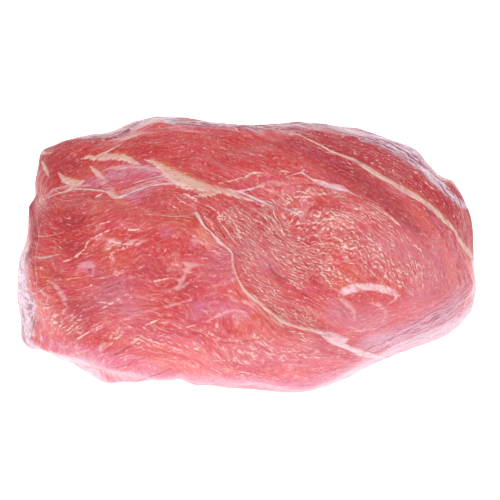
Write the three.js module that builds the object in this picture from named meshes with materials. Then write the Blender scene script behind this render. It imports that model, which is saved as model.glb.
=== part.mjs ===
// Raw veal roast: one boneless piece in which several muscles are held together by seams of fat.
// Millimetres, +Z up, +X along the length, the front towards -Y. It lies on its flattened underside,
// and the origin is the middle of its bounding box, at the height of the board.

import * as THREE from 'three';
import { mergeVertices } from 'three/addons/utils/BufferGeometryUtils.js';

// The outline and the seams are drawn as seen by an eye in front of and above the roast. On the drawing
// u runs to the right and v runs up, in millimetres, from the point that the eye looks at.
const eyeTilt = THREE.MathUtils.degToRad(45);
const eyeDistance = 1200;
const aim = new THREE.Vector3(0, 0, 46);

// The outline, from the right-hand tip over the top, down the blunt left end and back along the bottom.
const outline = [
  [105, -17], [104.3, -4], [102.5, 9], [99, 21], [93.5, 31.5], [84.5, 37], [74, 47], [57, 53.5],
  [38, 57.5], [17, 58.7], [-5, 58.3], [-30, 60.4], [-46.5, 60.8], [-53, 59], [-58, 55], [-66, 53],
  [-83, 49.5], [-91, 46], [-94.5, 41.5], [-95.5, 31], [-97.5, 21.5], [-100.3, 16], [-101, 10],
  [-104, 1], [-105.5, -12], [-105, -24], [-103.7, -34], [-100, -44.5], [-91, -46.3], [-86, -48.5],
  [-75, -55.5], [-64, -60.8], [-48, -59.3], [-31, -58.5], [-16, -62.5],
  [4, -63.8], [19, -65.4], [38, -61], [59, -51.5], [73, -47], [91, -38.5], [101, -28.5],
];
const rimSteps = 720;

// The small corners of the outline are lost this far in front of it and behind it.
const rimDetailDepth = 30;
const fineRimDegrees = 0.5;
const broadRimDegrees = 16;

// The body swells out from the outline, towards the eye and away from it, between the board and the crown.
const halfThickness = 62;
const roundness = 2;
const leftEndBluntness = 1.2;
const boardEdgeRadius = 6;
const crownHeight = 97;
const crownRadius = 26;

// Seams between the muscles, on the side that faces the eye and on the side that faces away. Each is a
// valley, and the flesh above it is lifted, or sunk where the lift is negative.
const nearSeams = [
  {
    // Under the cap muscle, from the crown down to the right-hand end.
    path: [[-2, 60], [18, 54], [35, 47.5], [60, 34], [84, 19], [95, 7.5], [104, -4]],
    depth: 2.6,
    halfWidth: 8,
    lift: 1.2,
  },
  {
    // Along the upper edge of the front muscle and down to the board.
    path: [
      [-49, 19], [-36, 16], [-22, 17.5], [-14, 7], [-6, -4], [-3, -18], [8, -27], [35, -37.5],
      [48, -46], [64, -52],
    ],
    depth: 2.2,
    halfWidth: 7.5,
    lift: -2.4,
  },
  {
    // Under the skin at the left end.
    path: [[-100, 19], [-92, 26], [-80, 27], [-64, 27], [-49, 19]],
    depth: 3,
    halfWidth: 8,
    lift: -1.5,
  },
  {
    // Below the upper left muscle, towards the middle of the top.
    path: [[-78, 42], [-64, 42], [-40, 35], [-12, 26], [8, 19]],
    depth: 2,
    halfWidth: 8,
    lift: 1,
  },
];
const farSeams = [
  {
    // Under the cap muscle, where its seam comes round the back.
    path: [[-2, 60], [-8, 44], [-2, 26], [20, 8], [50, -3], [80, -6], [104, -4]],
    depth: 3,
    halfWidth: 8,
    lift: 1.5,
  },
  {
    // From the left end to the middle of the back.
    path: [[-100, 19], [-80, 12], [-55, 10], [-30, 16], [-4, 28]],
    depth: 2.6,
    halfWidth: 8,
    lift: -1,
  },
];
const seamReach = 26;
const seamSteps = 80;

// The relief dies away towards the outline and towards the underside.
const rimCalm = 0.1;
const rimCalmDepth = 26;
const underEdge = { clear: 2, full: 14 };

// Broad, uneven swelling of the flesh: height, wavelength and the direction in which it comes and goes.
const swellings = [
  [0.9, 58, new THREE.Vector3(0.8, 0.5, 0.3)],
  [0.8, 47, new THREE.Vector3(-0.4, 0.7, 0.6)],
  [0.7, 34, new THREE.Vector3(0.6, -0.3, 0.8)],
];

// The mesh is a ball of triangles, drawn out to the roast's proportions and pushed out to its surface.
const meshDetail = 20;
const meshProportions = new THREE.Vector3(1.4, 1, 0.8);
const heart = new THREE.Vector3(0, 0, 42);
const furthestReach = 170;
const searchSteps = 22;

const { clamp, lerp, smoothstep } = THREE.MathUtils;
const drawingRight = new THREE.Vector3(1, 0, 0);
const drawingUp = new THREE.Vector3(0, Math.sin(eyeTilt), Math.cos(eyeTilt));
const towardsEye = new THREE.Vector3(0, -Math.cos(eyeTilt), Math.sin(eyeTilt));

// Where a point appears on the drawing, and how far it lies in front of the drawing's plane.
function draw(point) {
  const offset = point.clone().sub(aim);
  const depth = offset.dot(towardsEye);
  const scale = eyeDistance / (eyeDistance - depth);
  return { u: offset.dot(drawingRight) * scale, v: offset.dot(drawingUp) * scale, depth };
}

// The outline's distance from the middle of the drawing at evenly spaced angles, averaged over a
// number of degrees to each side.
function makeRim(degrees) {
  const corners = outline.map(([u, v]) => new THREE.Vector3(u, v, 0));
  const curve = new THREE.CatmullRomCurve3(corners, true, 'centripetal').getPoints(2 * rimSteps);
  const radii = new Array(rimSteps).fill(0);
  curve.forEach(({ x, y }) => {
    radii[rimIndex(Math.atan2(y, x))] = Math.hypot(x, y);
  });
  radii.forEach((radius, i) => {
    if (radius === 0) radii[i] = radii[(i + rimSteps - 1) % rimSteps];
  });
  const spread = Math.round((degrees / 360) * rimSteps);
  return radii.map((_, i) => {
    let sum = 0;
    for (let j = i - spread; j <= i + spread; j += 1) sum += radii[(j + rimSteps) % rimSteps];
    return sum / (2 * spread + 1);
  });
}

function rimIndex(angle) {
  return Math.floor((angle / (2 * Math.PI) + 1) * rimSteps) % rimSteps;
}

function rimAt(radii, angle) {
  const place = (angle / (2 * Math.PI) + 1) * rimSteps;
  const i = Math.floor(place);
  return lerp(radii[i % rimSteps], radii[(i + 1) % rimSteps], place - i);
}

const fineRim = makeRim(fineRimDegrees);
const broadRim = makeRim(broadRimDegrees);

// The greater of two values, with a rounded corner where they meet.
function softMax(a, b, radius) {
  const overlap = Math.max(radius - Math.abs(a - b), 0) / radius;
  return Math.max(a, b) + (overlap * overlap * radius) / 4;
}

// Roughly how far a point is outside the plain body, in millimetres; negative inside.
function bodyDistance(point) {
  const { u, v, depth } = draw(point);
  const angle = Math.atan2(v, u);
  const broadness = smoothstep(Math.abs(depth), 0, rimDetailDepth);
  const radius = lerp(rimAt(fineRim, angle), rimAt(broadRim, angle), broadness);
  const leftward = Math.max(-Math.cos(angle), 0) ** 2;
  const power = roundness + leftEndBluntness * leftward;
  const swell = (Math.hypot(u, v) / radius) ** power + Math.abs(depth / halfThickness) ** power;
  const body = (swell ** (1 / power) - 1) * halfThickness;
  const belowCrown = softMax(body, point.z - crownHeight, crownRadius);
  return softMax(belowCrown, -point.z, boardEdgeRadius);
}

// The point where a ray from the heart of the roast leaves the plain body.
function surfacePoint(direction) {
  let [low, high] = [0, furthestReach];
  for (let step = 0; step < searchSteps; step += 1) {
    const middle = (low + high) / 2;
    if (bodyDistance(direction.clone().multiplyScalar(middle).add(heart)) < 0) low = middle;
    else high = middle;
  }
  return direction.clone().multiplyScalar(low).add(heart);
}

// The direction in which the plain body's surface faces.
function outward(point) {
  const here = bodyDistance(point);
  const slope = (x, y, z) => bodyDistance(new THREE.Vector3(x, y, z).add(point)) - here;
  return new THREE.Vector3(slope(1, 0, 0), slope(0, 1, 0), slope(0, 0, 1)).normalize();
}

// A function that gives a place's distance from a seam, positive on the seam's upper side.
function seamDistance(path) {
  const points = path.map(([u, v]) => new THREE.Vector2(u, v));
  const curve = new THREE.SplineCurve(points).getPoints(seamSteps);
  return (u, v) => {
    let [nearest, side] = [Infinity, 1];
    for (let i = 1; i < curve.length; i += 1) {
      const along = curve[i].clone().sub(curve[i - 1]);
      const offset = new THREE.Vector2(u, v).sub(curve[i - 1]);
      const t = clamp(offset.dot(along) / along.lengthSq(), 0, 1);
      const distance = offset.clone().addScaledVector(along, -t).length();
      if (distance < nearest) [nearest, side] = [distance, along.cross(offset) < 0 ? -1 : 1];
    }
    return nearest * side;
  };
}

[...nearSeams, ...farSeams].forEach((seam) => {
  seam.distance = seamDistance(seam.path);
});

function seamRelief(seam, u, v) {
  const distance = seam.distance(u, v);
  const valley = Math.exp(-((distance / seam.halfWidth) ** 2));
  const fade = Math.exp(-((distance / seamReach) ** 2));
  return -seam.depth * valley + seam.lift * fade * Math.tanh(distance / seam.halfWidth);
}

// How far the flesh stands out from the plain body, in millimetres.
function relief(point) {
  const { u, v, depth } = draw(point);
  const seams = depth > 0 ? nearSeams : farSeams;
  const atSeams = seams.reduce((sum, seam) => sum + seamRelief(seam, u, v), 0);
  const broad = swellings.reduce((sum, [height, wavelength, direction]) => (
    sum + height * Math.sin((2 * Math.PI * point.dot(direction)) / wavelength)), 0);
  const calm = lerp(rimCalm, 1, smoothstep(Math.abs(depth), 0, rimCalmDepth));
  return (atSeams + broad) * calm * smoothstep(point.z, underEdge.clear, underEdge.full);
}

function roastGeometry() {
  const ball = new THREE.IcosahedronGeometry(1, meshDetail);
  ball.deleteAttribute('normal');
  ball.deleteAttribute('uv');
  const geometry = mergeVertices(ball);
  const position = geometry.attributes.position;
  const direction = new THREE.Vector3();
  for (let i = 0; i < position.count; i += 1) {
    direction.fromBufferAttribute(position, i).multiply(meshProportions).normalize();
    const surface = surfacePoint(direction);
    surface.addScaledVector(outward(surface), relief(surface));
    position.setXYZ(i, surface.x, surface.y, Math.max(surface.z, 0));
  }
  geometry.computeBoundingBox();
  const { min, max } = geometry.boundingBox;
  geometry.translate(-(min.x + max.x) / 2, -(min.y + max.y) / 2, -min.z);
  geometry.computeVertexNormals();
  return geometry;
}

const veal = new THREE.MeshStandardMaterial({ color: '#cf5f5c', roughness: 0.35, metalness: 0 });
const roast = new THREE.Mesh(roastGeometry(), veal);
roast.name = 'roast';
const model = new THREE.Group();
model.add(roast);

export default model;
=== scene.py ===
import logging
import math
from dataclasses import dataclass
from enum import Enum
from typing import Sequence

import bmesh
import bpy
import numpy as np
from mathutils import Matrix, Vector, noise
from mathutils.bvhtree import BVHTree


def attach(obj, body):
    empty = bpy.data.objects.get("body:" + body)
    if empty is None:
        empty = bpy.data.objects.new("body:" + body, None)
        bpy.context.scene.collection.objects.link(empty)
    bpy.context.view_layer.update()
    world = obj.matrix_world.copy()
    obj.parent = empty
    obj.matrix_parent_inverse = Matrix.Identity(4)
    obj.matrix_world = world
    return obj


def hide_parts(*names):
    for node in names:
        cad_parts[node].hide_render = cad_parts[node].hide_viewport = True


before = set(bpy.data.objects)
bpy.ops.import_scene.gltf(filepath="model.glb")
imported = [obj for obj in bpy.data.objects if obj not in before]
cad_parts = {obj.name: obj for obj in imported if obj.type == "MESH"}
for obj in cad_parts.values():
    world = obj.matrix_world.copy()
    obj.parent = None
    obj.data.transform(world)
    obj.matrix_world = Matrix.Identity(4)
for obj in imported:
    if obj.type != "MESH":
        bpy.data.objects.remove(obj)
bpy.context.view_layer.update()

log = logging.getLogger("roast")

MM = 0.001
TINY = 1e-9

Pixel = tuple[float, float]
Stops = tuple[tuple[float, float, float], ...]
Colour = tuple[int, int, int]


class Muscle(Enum):
    """The muscles of the roast. Each has a grain of its own and meets the others along a seam."""

    CAP = "cap"
    BODY = "body"
    FRONT = "front"
    HEEL = "heel"


class Tissue(Enum):
    """What a stroke on the flesh is made of: fat, sinew and veils, or painted highlights for the glint
    strokes and painted shade for the crease strokes, one of which is a blood dot. The value names the
    attribute that holds it.
    """

    FAT = "fat"
    SINEW = "sinew"
    VEIL = "veil"
    PAINTED_GLINT = "glint"
    CREASE = "crease"


class Tone(Enum):
    """Broad changes in the look of the flesh. The value names the attribute that holds each."""

    DARK = "dark"
    RED = "red"
    PALE = "pale"
    LILAC = "lilac"
    ORANGE = "orange"
    CRIMP = "crimp"
    CREASED = "creased"
    SKIN = "skin"
    SHEATH = "sheath"
    MILKY = "milky"
    EVEN = "even"


@dataclass(frozen=True)
class Eye:
    """The photographer's eye, and the drawing plane through the point it looks at, in millimetres."""

    tilt: float = math.radians(45)
    distance: float = 1200.0
    aim: tuple[float, float, float] = (0.65, 0.05, 46.0)
    aim_pixel: Pixel = (247.0, 250.0)
    frame_pixels: float = 500.0
    millimetres_per_pixel: float = 0.4565
    sensor: float = 36.0
    clip_end: float = 10.0

    @property
    def right(self) -> np.ndarray:
        """The direction that runs to the right in the picture."""
        return np.array([1.0, 0.0, 0.0])

    @property
    def up(self) -> np.ndarray:
        """The direction that runs up in the picture."""
        return np.array([0.0, math.sin(self.tilt), math.cos(self.tilt)])

    @property
    def back(self) -> np.ndarray:
        """The direction from the roast to the eye."""
        return np.array([0.0, -math.cos(self.tilt), math.sin(self.tilt)])

    @property
    def place(self) -> np.ndarray:
        """Where the eye is."""
        return np.array(self.aim) + self.distance * self.back

    def spot(self, pixel: Pixel) -> np.ndarray:
        """Gives the point of the drawing plane that shows at a pixel.

        Args:
            pixel: A place in the photograph, from its top left corner.

        Returns:
            The point, in millimetres.
        """
        u = (pixel[0] - self.aim_pixel[0]) * self.millimetres_per_pixel
        v = (self.aim_pixel[1] - pixel[1]) * self.millimetres_per_pixel
        return np.array(self.aim) + u * self.right + v * self.up

    def draw(self, points: np.ndarray) -> tuple[np.ndarray, np.ndarray]:
        """Shows points as the eye sees them.

        Args:
            points: The points, in millimetres, one in each row.

        Returns:
            Their pixels, and how far each lies in front of the drawing plane.
        """
        offset = points - np.array(self.aim)
        depth = offset @ self.back
        size = self.distance / (self.distance - depth) / self.millimetres_per_pixel
        x = self.aim_pixel[0] + offset @ self.right * size
        y = self.aim_pixel[1] - offset @ self.up * size
        return np.stack([x, y], axis=1), depth

    def camera(self) -> None:
        """Sets up the camera that sees what the eye sees."""
        width = self.frame_pixels * self.millimetres_per_pixel
        lens = bpy.data.cameras.new("eye")
        lens.sensor_width = self.sensor
        lens.lens = self.sensor * self.distance / width
        lens.shift_x = (self.frame_pixels / 2 - self.aim_pixel[0]) / self.frame_pixels
        lens.shift_y = (self.aim_pixel[1] - self.frame_pixels / 2) / self.frame_pixels
        lens.clip_end = self.clip_end
        camera = bpy.data.objects.new("eye", lens)
        camera.location = Vector(self.place * MM)
        camera.rotation_euler = (math.pi / 2 - self.tilt, 0, 0)
        bpy.context.scene.collection.objects.link(camera)
        bpy.context.scene.camera = camera


EYE = Eye()


def through(stops: Sequence[Sequence[float]], step: float) -> np.ndarray:
    """Draws a smooth curve through given stops.

    Args:
        stops: The stops, each a row of numbers whose first two are a pixel.
        step: How far apart the curve's points are, in pixels.

    Returns:
        The curve's points, one in each row, with all numbers carried along smoothly.
    """
    rows = np.array(stops, float)
    ends = np.vstack([2 * rows[0] - rows[1], rows, 2 * rows[-1] - rows[-2]])
    curve = []
    for a, b, c, d in zip(ends, ends[1:], ends[2:], ends[3:]):
        count = max(int(np.hypot(*(c - b)[:2]) / step), 1)
        t = (np.arange(count) / count)[:, None]
        bend = (2 * a - 5 * b + 4 * c - d) * t**2 + (3 * b - a - 3 * c + d) * t**3
        curve.append(b + 0.5 * ((c - a) * t + bend))
    return np.vstack([*curve, rows[-1:]])


def ease(value: np.ndarray, low: float, high: float) -> np.ndarray:
    """Turns smoothly from 0 at low to 1 at high. The one called low may be the higher."""
    t = np.clip((value - low) / (high - low), 0, 1)
    return t * t * (3 - 2 * t)


@dataclass(frozen=True)
class Ripple:
    """Smooth noise. Its sizes are how long its features are along each axis, in millimetres."""

    strength: float
    sizes: tuple[float, float, float]
    seed: float

    def at(self, points: np.ndarray, shift: float = 0.0) -> np.ndarray:
        """Reads the noise.

        Args:
            points: The places, one in each row.
            shift: Shifts the seed.

        Returns:
            A number from about minus the strength to the strength for each point.
        """
        scaled = points / np.array(self.sizes) + (self.seed + shift)
        return self.strength * np.array([noise.noise(Vector(p)) for p in scaled.tolist()])


def layered(layers: Sequence[Ripple], points: np.ndarray, shift: float = 0.0) -> np.ndarray:
    """Adds up layers of noise.

    Args:
        layers: The layers.
        points: The places, one in each row.
        shift: Shifts the seed of every layer.

    Returns:
        The sum at each point.
    """
    return sum(layer.at(points, shift) for layer in layers)


def enclosed(places: np.ndarray, fence: Sequence[Pixel]) -> np.ndarray:
    """Tells which places lie inside a fence.

    Args:
        places: The places, one pixel in each row.
        fence: The corners of a closed outline.

    Returns:
        True for each place inside.
    """
    x, y = places.T
    within = np.zeros(len(places), bool)
    corners = np.array(fence, float)
    for (x1, y1), (x2, y2) in zip(corners, np.roll(corners, -1, axis=0)):
        if y1 == y2:
            continue
        crosses = (y1 > y) != (y2 > y)
        within ^= crosses & (x < x1 + (y - y1) * (x2 - x1) / (y2 - y1))
    return within


def settle(edges: np.ndarray, rises: np.ndarray, start: np.ndarray, rounds: int) -> np.ndarray:
    """Finds the heights whose differences along a net's edges come closest to the wanted rises.

    Args:
        edges: The two ends of each edge.
        rises: The wanted rise from the first end to the second.
        start: First guess at each height.
        rounds: How many rounds of conjugate gradients are made.

    Returns:
        The heights.
    """
    low, high = edges.T
    count = len(start)
    tiny = 1e-30

    def gather(flow: np.ndarray) -> np.ndarray:
        """Adds up what flows into each knot of the net."""
        return np.bincount(high, flow, count) - np.bincount(low, flow, count)

    weight = np.bincount(edges.ravel(), minlength=count).astype(float) + TINY
    heights = start.copy()
    rest = gather(rises - (heights[high] - heights[low]))
    eased = rest / weight
    push = eased.copy()
    power = rest @ eased
    for _ in range(rounds):
        pull = gather(push[high] - push[low])
        stride = power / (push @ pull + tiny)
        heights += stride * push
        rest -= stride * pull
        eased = rest / weight
        power, former = rest @ eased, power
        push = eased + power / (former + tiny) * push
    return heights


class Skin:
    """The surface of the roast as arrays, in millimetres. A line of sight starts clear of it."""

    clear: float = 200.0

    def __init__(self, shape: bmesh.types.BMesh) -> None:
        """Reads the surface.

        Args:
            shape: The mesh, in metres.
        """
        shape.verts.ensure_lookup_table()
        shape.verts.index_update()
        shape.normal_update()
        self.points = np.array([v.co for v in shape.verts]) / MM
        self.normals = np.array([v.normal for v in shape.verts])
        self.edges = np.array([[v.index for v in e.verts] for e in shape.edges])
        self.tree = BVHTree.FromBMesh(shape)
        self.pixels, self.depth = EYE.draw(self.points)

    def touch(self, pixel: Pixel, far: bool) -> np.ndarray:
        """Finds where a line of sight meets the surface.

        Args:
            pixel: The place in the photograph.
            far: Whether the line comes from behind the roast.

        Returns:
            The point and the surface's direction there, as six numbers.
        """
        spot = EYE.spot(pixel)
        sight = spot - EYE.place
        sight /= np.linalg.norm(sight)
        start = spot + sight * (self.clear if far else -self.clear)
        hit, normal, _, _ = self.tree.ray_cast(Vector(start * MM), Vector(-sight if far else sight))
        if hit is None:
            hit, normal, _, _ = self.tree.find_nearest(Vector(spot * MM))
        return np.concatenate([np.array(hit) / MM, np.array(normal)])

    def trace(self, stops: Sequence[Sequence[float]], far: bool, step: float = 1.5) -> np.ndarray:
        """Lays a drawn curve on the surface.

        Args:
            stops: The stops of the curve, each a pixel and any further numbers.
            far: Whether the curve lies on the side that faces away from the eye.
            step: How far apart the curve's points are, in pixels.

        Returns:
            A row for each point: its place, the surface's direction, and the further numbers.
        """
        curve = through(stops, step)
        return np.array([np.concatenate([self.touch(row[:2], far), row[2:]]) for row in curve])

    def near(self, line: np.ndarray, reach: float) -> np.ndarray:
        """Lists the vertices in the box round a line.

        Args:
            line: The line, as trace gives it.
            reach: How far the box goes beyond the line.

        Returns:
            The vertices' numbers.
        """
        low, high = line[:, :3].min(0) - reach, line[:, :3].max(0) + reach
        return np.nonzero(((self.points > low) & (self.points < high)).all(1))[0]

    def measure(self, line: np.ndarray, chosen: np.ndarray) -> tuple[np.ndarray, np.ndarray, np.ndarray]:
        """Measures vertices against a line that lies on the surface.

        Args:
            line: The line, as trace gives it.
            chosen: The numbers of the vertices.

        Returns:
            Each vertex's distance, the side that it is on, and the line's further numbers beside it.
        """
        best = np.full(len(chosen), np.inf)
        side = np.ones(len(chosen))
        extra = np.zeros((len(chosen), line.shape[1] - 6))
        points = self.points[chosen]
        for a, b in zip(line, line[1:]):
            along = b[:3] - a[:3]
            length = along @ along
            if length < TINY:
                continue
            offset = points - a[:3]
            t = np.clip(offset @ along / length, 0, 1)
            distance = np.linalg.norm(offset - t[:, None] * along, axis=1)
            closer = distance < best
            best[closer] = distance[closer]
            across = np.cross(a[3:6], along)
            side[closer] = np.where(offset[closer] @ across > 0, 1.0, -1.0)
            extra[closer] = a[6:] + t[closer, None] * (b[6:] - a[6:])
        return best, side, extra


@dataclass(frozen=True)
class Stroke:
    """A thin strip in the flesh. Its stops are a pixel and the width there in millimetres."""

    tissue: Tissue
    stops: Stops
    lift: float
    far: bool = False


@dataclass(frozen=True)
class Fold:
    """A step in the flesh. Its stops are a pixel and how much higher the left side is, in millimetres."""

    stops: Stops
    width: float
    groove: float = 0.0
    shift: float = 0.0
    far: bool = False


@dataclass(frozen=True)
class Wash:
    """A soft-edged stretch of a tone. Its stops are a pixel and the reach there in millimetres."""

    tone: Tone
    strength: float
    stops: Stops
    far: bool


@dataclass(frozen=True)
class Grain:
    """A line along which the fibres of a muscle run, from left to right."""

    muscle: Muscle
    stops: tuple[Pixel, ...]
    far: bool


def graded(seam: Sequence[Sequence[float]], *grades: tuple[float, int]) -> Stops:
    """Gives the stops of a seam a further number.

    Args:
        seam: The seam's stops.
        grades: The numbers, each with how many stops it holds for, in the seam's order.

    Returns:
        The pixel and the number of each stop.
    """
    levels = [level for level, count in grades for _ in range(count)]
    return tuple((x, y, level) for (x, y, *_), level in zip(seam, levels))


def spots(*rows: tuple[float, float, float, float]) -> list[tuple[float, Stops]]:
    """Gives round washes, from the pixel, the reach and the strength of each."""
    return [(strength, ((x, y, reach), (x + 1, y, reach))) for x, y, reach, strength in rows]


# The seams between the muscles, with the width of the fat in some of them. Behind is the side that
# faces away from the eye. A fence runs clear of the roast and closes the outline of a muscle.
CAP_SEAM = (
    (249, 124, 0.5), (258, 126.7, 0.5), (270, 129, 0.6), (281, 131, 0.6), (293, 134, 0.6), (307, 139, 0.6),
    (322, 145.8, 0.7), (341, 155, 0.9), (353, 160, 1.4), (362, 166, 1.8), (371, 171.3, 2.1),
    (384, 178.5, 1.9), (393, 183.5, 1.7), (403, 189.5, 2.5), (413, 196, 2.7), (423, 202.5, 2.3),
    (433, 210, 2.5), (443, 220, 2.0), (452, 229, 1.5), (458, 237.5, 1.5), (465, 248, 2.4), (471, 256, 3.0),
)
CAP_SEAM_BEHIND = (
    (249, 121, 0.3), (240, 127, 0.6), (244, 138, 1.0), (258, 152, 1.4), (276, 164, 0.9), (298, 180, 1.8),
    (324, 200, 1.2), (352, 218, 0.8), (384, 238, 1.6), (416, 250, 1.0), (448, 257, 0.7), (474, 259, 1.4),
)
LEFT_SEAM = ((30, 203), (44, 194), (58, 190), (70, 189), (86, 191), (106, 191), (124, 199), (140, 208))
FRONT_SEAM = (
    (140, 208, 0.2), (150, 212, 0.3), (160, 215, 0.3), (173, 217.3, 0.4), (184, 216.7, 0.4),
    (193, 215, 0.7), (197, 213.5, 1.2), (203, 226, 0.8), (212, 234, 1.0), (219, 242.5, 1.5),
    (226, 248, 1.1), (231.7, 254, 0.8), (232, 262, 0.8), (234, 271, 0.8), (237.5, 279, 0.8),
    (243, 288, 1.0), (250, 295.5, 1.3), (260, 303.5, 1.7), (270, 312, 1.4), (281, 320.5, 1.1),
    (292, 325.5, 1.1), (305, 328.5, 1.3), (320, 332.5, 1.4),
)
FRONT_SEAM_END = ((320, 332.5), (338, 339), (352, 347), (368, 354), (387, 359), (402, 364))
FRONT_SEAM_BEHIND = (
    (402, 364), (412, 335), (414, 300), (404, 268), (384, 238), (352, 218), (324, 200), (298, 180),
    (262, 196), (216, 208), (170, 214), (126, 222), (80, 214), (48, 214), (24, 208),
)
HEEL_SEAM = (
    (318, 352), (330, 338), (345, 322), (362, 309), (380, 303), (400, 300), (425, 297), (450, 291),
    (477, 283),
)
HEEL_SEAM_BEHIND = ((477, 283), (462, 292), (445, 306), (428, 326), (412, 345), (402, 366))
CAP_FENCE = ((560, 257), (560, 20), (249, 20))
FRONT_FENCE = ((402, 480), (-60, 480), (-60, 206))
HEEL_FENCE = ((560, 283), (560, 480), (318, 480))
HEEL_FENCE_BEHIND = ((402, 480), (560, 480), (560, 283))

# The strips: for every stop a pixel and the width there.
FAT_BEHIND = (
    ((60, 180, 0.5), (85, 186, 3.0), (110, 196, 5.0), (140, 200, 4.0), (165, 196, 1.5), (185, 192, 0.4)),
    ((196, 211, 0.6), (216, 208, 3.0), (238, 203, 4.5), (262, 196, 3.0), (284, 186, 0.8)),
    ((380, 180, 0.4), (395, 190, 2.2), (410, 204, 3.0), (422, 222, 1.8), (430, 238, 0.4)),
    ((120, 280, 0.4), (140, 268, 1.6), (165, 262, 2.2), (190, 264, 1.2), (205, 270, 0.3)),
    ((300, 300, 0.4), (325, 290, 1.5), (345, 292, 1.8), (360, 300, 0.4)),
    ((40, 290, 0.3), (52, 276, 1.2), (60, 260, 1.6), (62, 244, 0.8), (60, 232, 0.3)),
)
SINEW_BEHIND = (
    ((110, 215, 0.3), (140, 208, 1.2), (172, 206, 1.6), (200, 210, 0.4)),
    ((240, 260, 0.3), (262, 268, 1.4), (285, 280, 1.8), (300, 296, 0.5)),
    ((410, 290, 0.3), (425, 275, 1.2), (440, 262, 0.8), (452, 258, 0.3)),
    ((300, 160, 0.3), (325, 168, 1.2), (350, 180, 1.6), (370, 196, 0.4)),
    ((80, 330, 0.3), (110, 322, 1.2), (145, 320, 0.9), (170, 326, 0.3)),
)
FAT_STRIPS = (
    (
        (82, 158.5, 0.7), (88, 157, 1.9), (96, 158, 2.1), (104, 157.5, 3.0), (112, 157.5, 3.2),
        (120, 157, 3.4), (127, 159, 3.0), (133, 161.5, 2.2), (139, 163.5, 0.8),
    ),
    ((97, 157, 1.4), (106, 153, 1.4), (113, 149, 1.0), (120, 144.5, 0.4)),
    (
        (145, 159.5, 0.7), (153, 162, 2.0), (161, 166.5, 3.4), (169, 173, 5.6), (177, 178, 7.4),
        (185, 181.5, 7.0), (194, 185, 5.2), (203, 187.8, 4.4), (213, 189.5, 3.5), (224, 191, 3.1),
        (236, 194.5, 2.2), (246, 198.5, 1.3), (255, 201.5, 0.4),
    ),
    ((196, 196, 0.4), (203, 194.5, 2.4), (211, 193.5, 2.8), (219, 191, 1.6)),
    ((59, 173, 0.6), (64, 178.5, 2.3), (70, 182, 3.4), (77, 184, 4.2), (84, 181.5, 1.0)),
    ((77, 184, 3.0), (74, 188.5, 2.6), (69, 191.5, 1.8), (60, 193.5, 1.0), (52, 196, 0.8), (43, 200, 0.5)),
    ((76, 190, 1.2), (90, 190.5, 1.0), (102, 191.5, 1.0), (111, 193, 0.6)),
    ((41, 152.5, 1.2), (45, 154, 1.8), (49, 154.5, 1.4), (54, 154.5, 0.5)),
    ((43, 162.5, 0.9), (46, 168, 1.7), (48.5, 173, 1.5), (50.5, 178, 0.4)),
    ((91, 166, 0.8), (95, 170.5, 2.0), (100, 175, 2.2), (105, 179, 0.8)),
    ((108, 191, 0.6), (112, 196, 2.4), (118, 197.5, 2.4), (126, 193.5, 0.8)),
    ((34, 256.5, 0.6), (38, 258, 1.2), (45, 257.5, 1.0), (52, 256, 0.6), (59, 254.5, 0.3)),
    ((36, 237, 0.3), (45, 236.5, 0.5), (58, 233.5, 0.2)),
    ((245, 176.5, 0.6), (251, 172.7, 1.4), (257, 172.3, 1.3), (264, 172.7, 0.5)),
    ((279, 172.5, 0.4), (283, 171.5, 1.4), (289, 172.7, 0.5)),
    ((373, 204.5, 0.4), (382, 210.7, 0.5), (391, 218, 0.9), (396, 222.7, 1.3), (400, 226, 0.4)),
)
SINEW_STRIPS = (
    ((319, 332.5, 1.0), (329, 336.5, 3.8), (337, 340, 5.0), (343, 340.5, 3.4), (349, 339, 0.8)),
    ((344, 345, 1.6), (353, 349.5, 2.4), (362, 353.3, 3.2), (371, 355.5, 2.8), (387, 359.3, 0.7)),
    ((326, 336, 1.0), (333, 340, 2.6), (340, 344, 2.6), (348, 347.5, 2.0), (356, 351, 1.6)),
    ((196, 212, 0.8), (198, 218, 1.3), (204, 227, 0.6), (212, 235, 1.0), (219, 242, 2.4), (224, 247, 1.0)),
    ((228, 189, 0.8), (243, 193.5, 1.1), (255, 198.5, 1.2), (266, 203.5, 1.2), (274, 207.5, 0.6)),
    ((282, 208, 0.6), (292, 211.5, 1.4), (303, 217, 0.4)),
    ((231, 193, 0.5), (244, 190, 1.1), (252, 188, 1.0), (259, 185.5, 0.8)),
    ((287, 177, 0.5), (294, 175, 0.7), (301, 173.2, 0.9), (306, 176, 0.8), (312, 180.5, 0.9)),
    ((301, 173.4, 0.7), (304, 170.2, 0.4)),
    (
        (311, 180, 0.8), (317, 182.5, 2.4), (324, 184.3, 3.2), (332, 186.8, 3.2), (339, 188.3, 3.2),
        (345, 190.5, 1.8), (352, 194.2, 1.0), (361, 198.5, 0.4),
    ),
    (
        (345, 291, 4.0), (352, 289, 4.2), (360, 287.4, 3.4), (372, 287, 3.0), (383, 289, 3.4),
        (391, 291.4, 3.2), (397, 294.5, 1.4),
    ),
    ((396, 294, 1.2), (395.5, 299, 0.8), (390, 303, 0.4)),
    ((132, 183.5, 0.5), (142, 181, 0.7), (154, 178, 0.7), (168, 174.5, 0.5)),
    ((109, 172.5, 0.4), (125, 168, 0.7), (140, 167.5, 0.7), (153, 168.5, 0.4)),
    ((119, 197, 0.8), (135, 191, 1.0), (153, 186.5, 1.1), (169, 183.7, 1.0), (183, 184, 0.5)),
    ((43, 197.5, 0.4), (55, 190.5, 0.6), (68, 186.7, 0.6), (75, 185, 0.4)),
    ((462, 312, 0.4), (465, 301, 0.9), (470, 294, 0.9), (476, 286, 0.5)),
)
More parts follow.
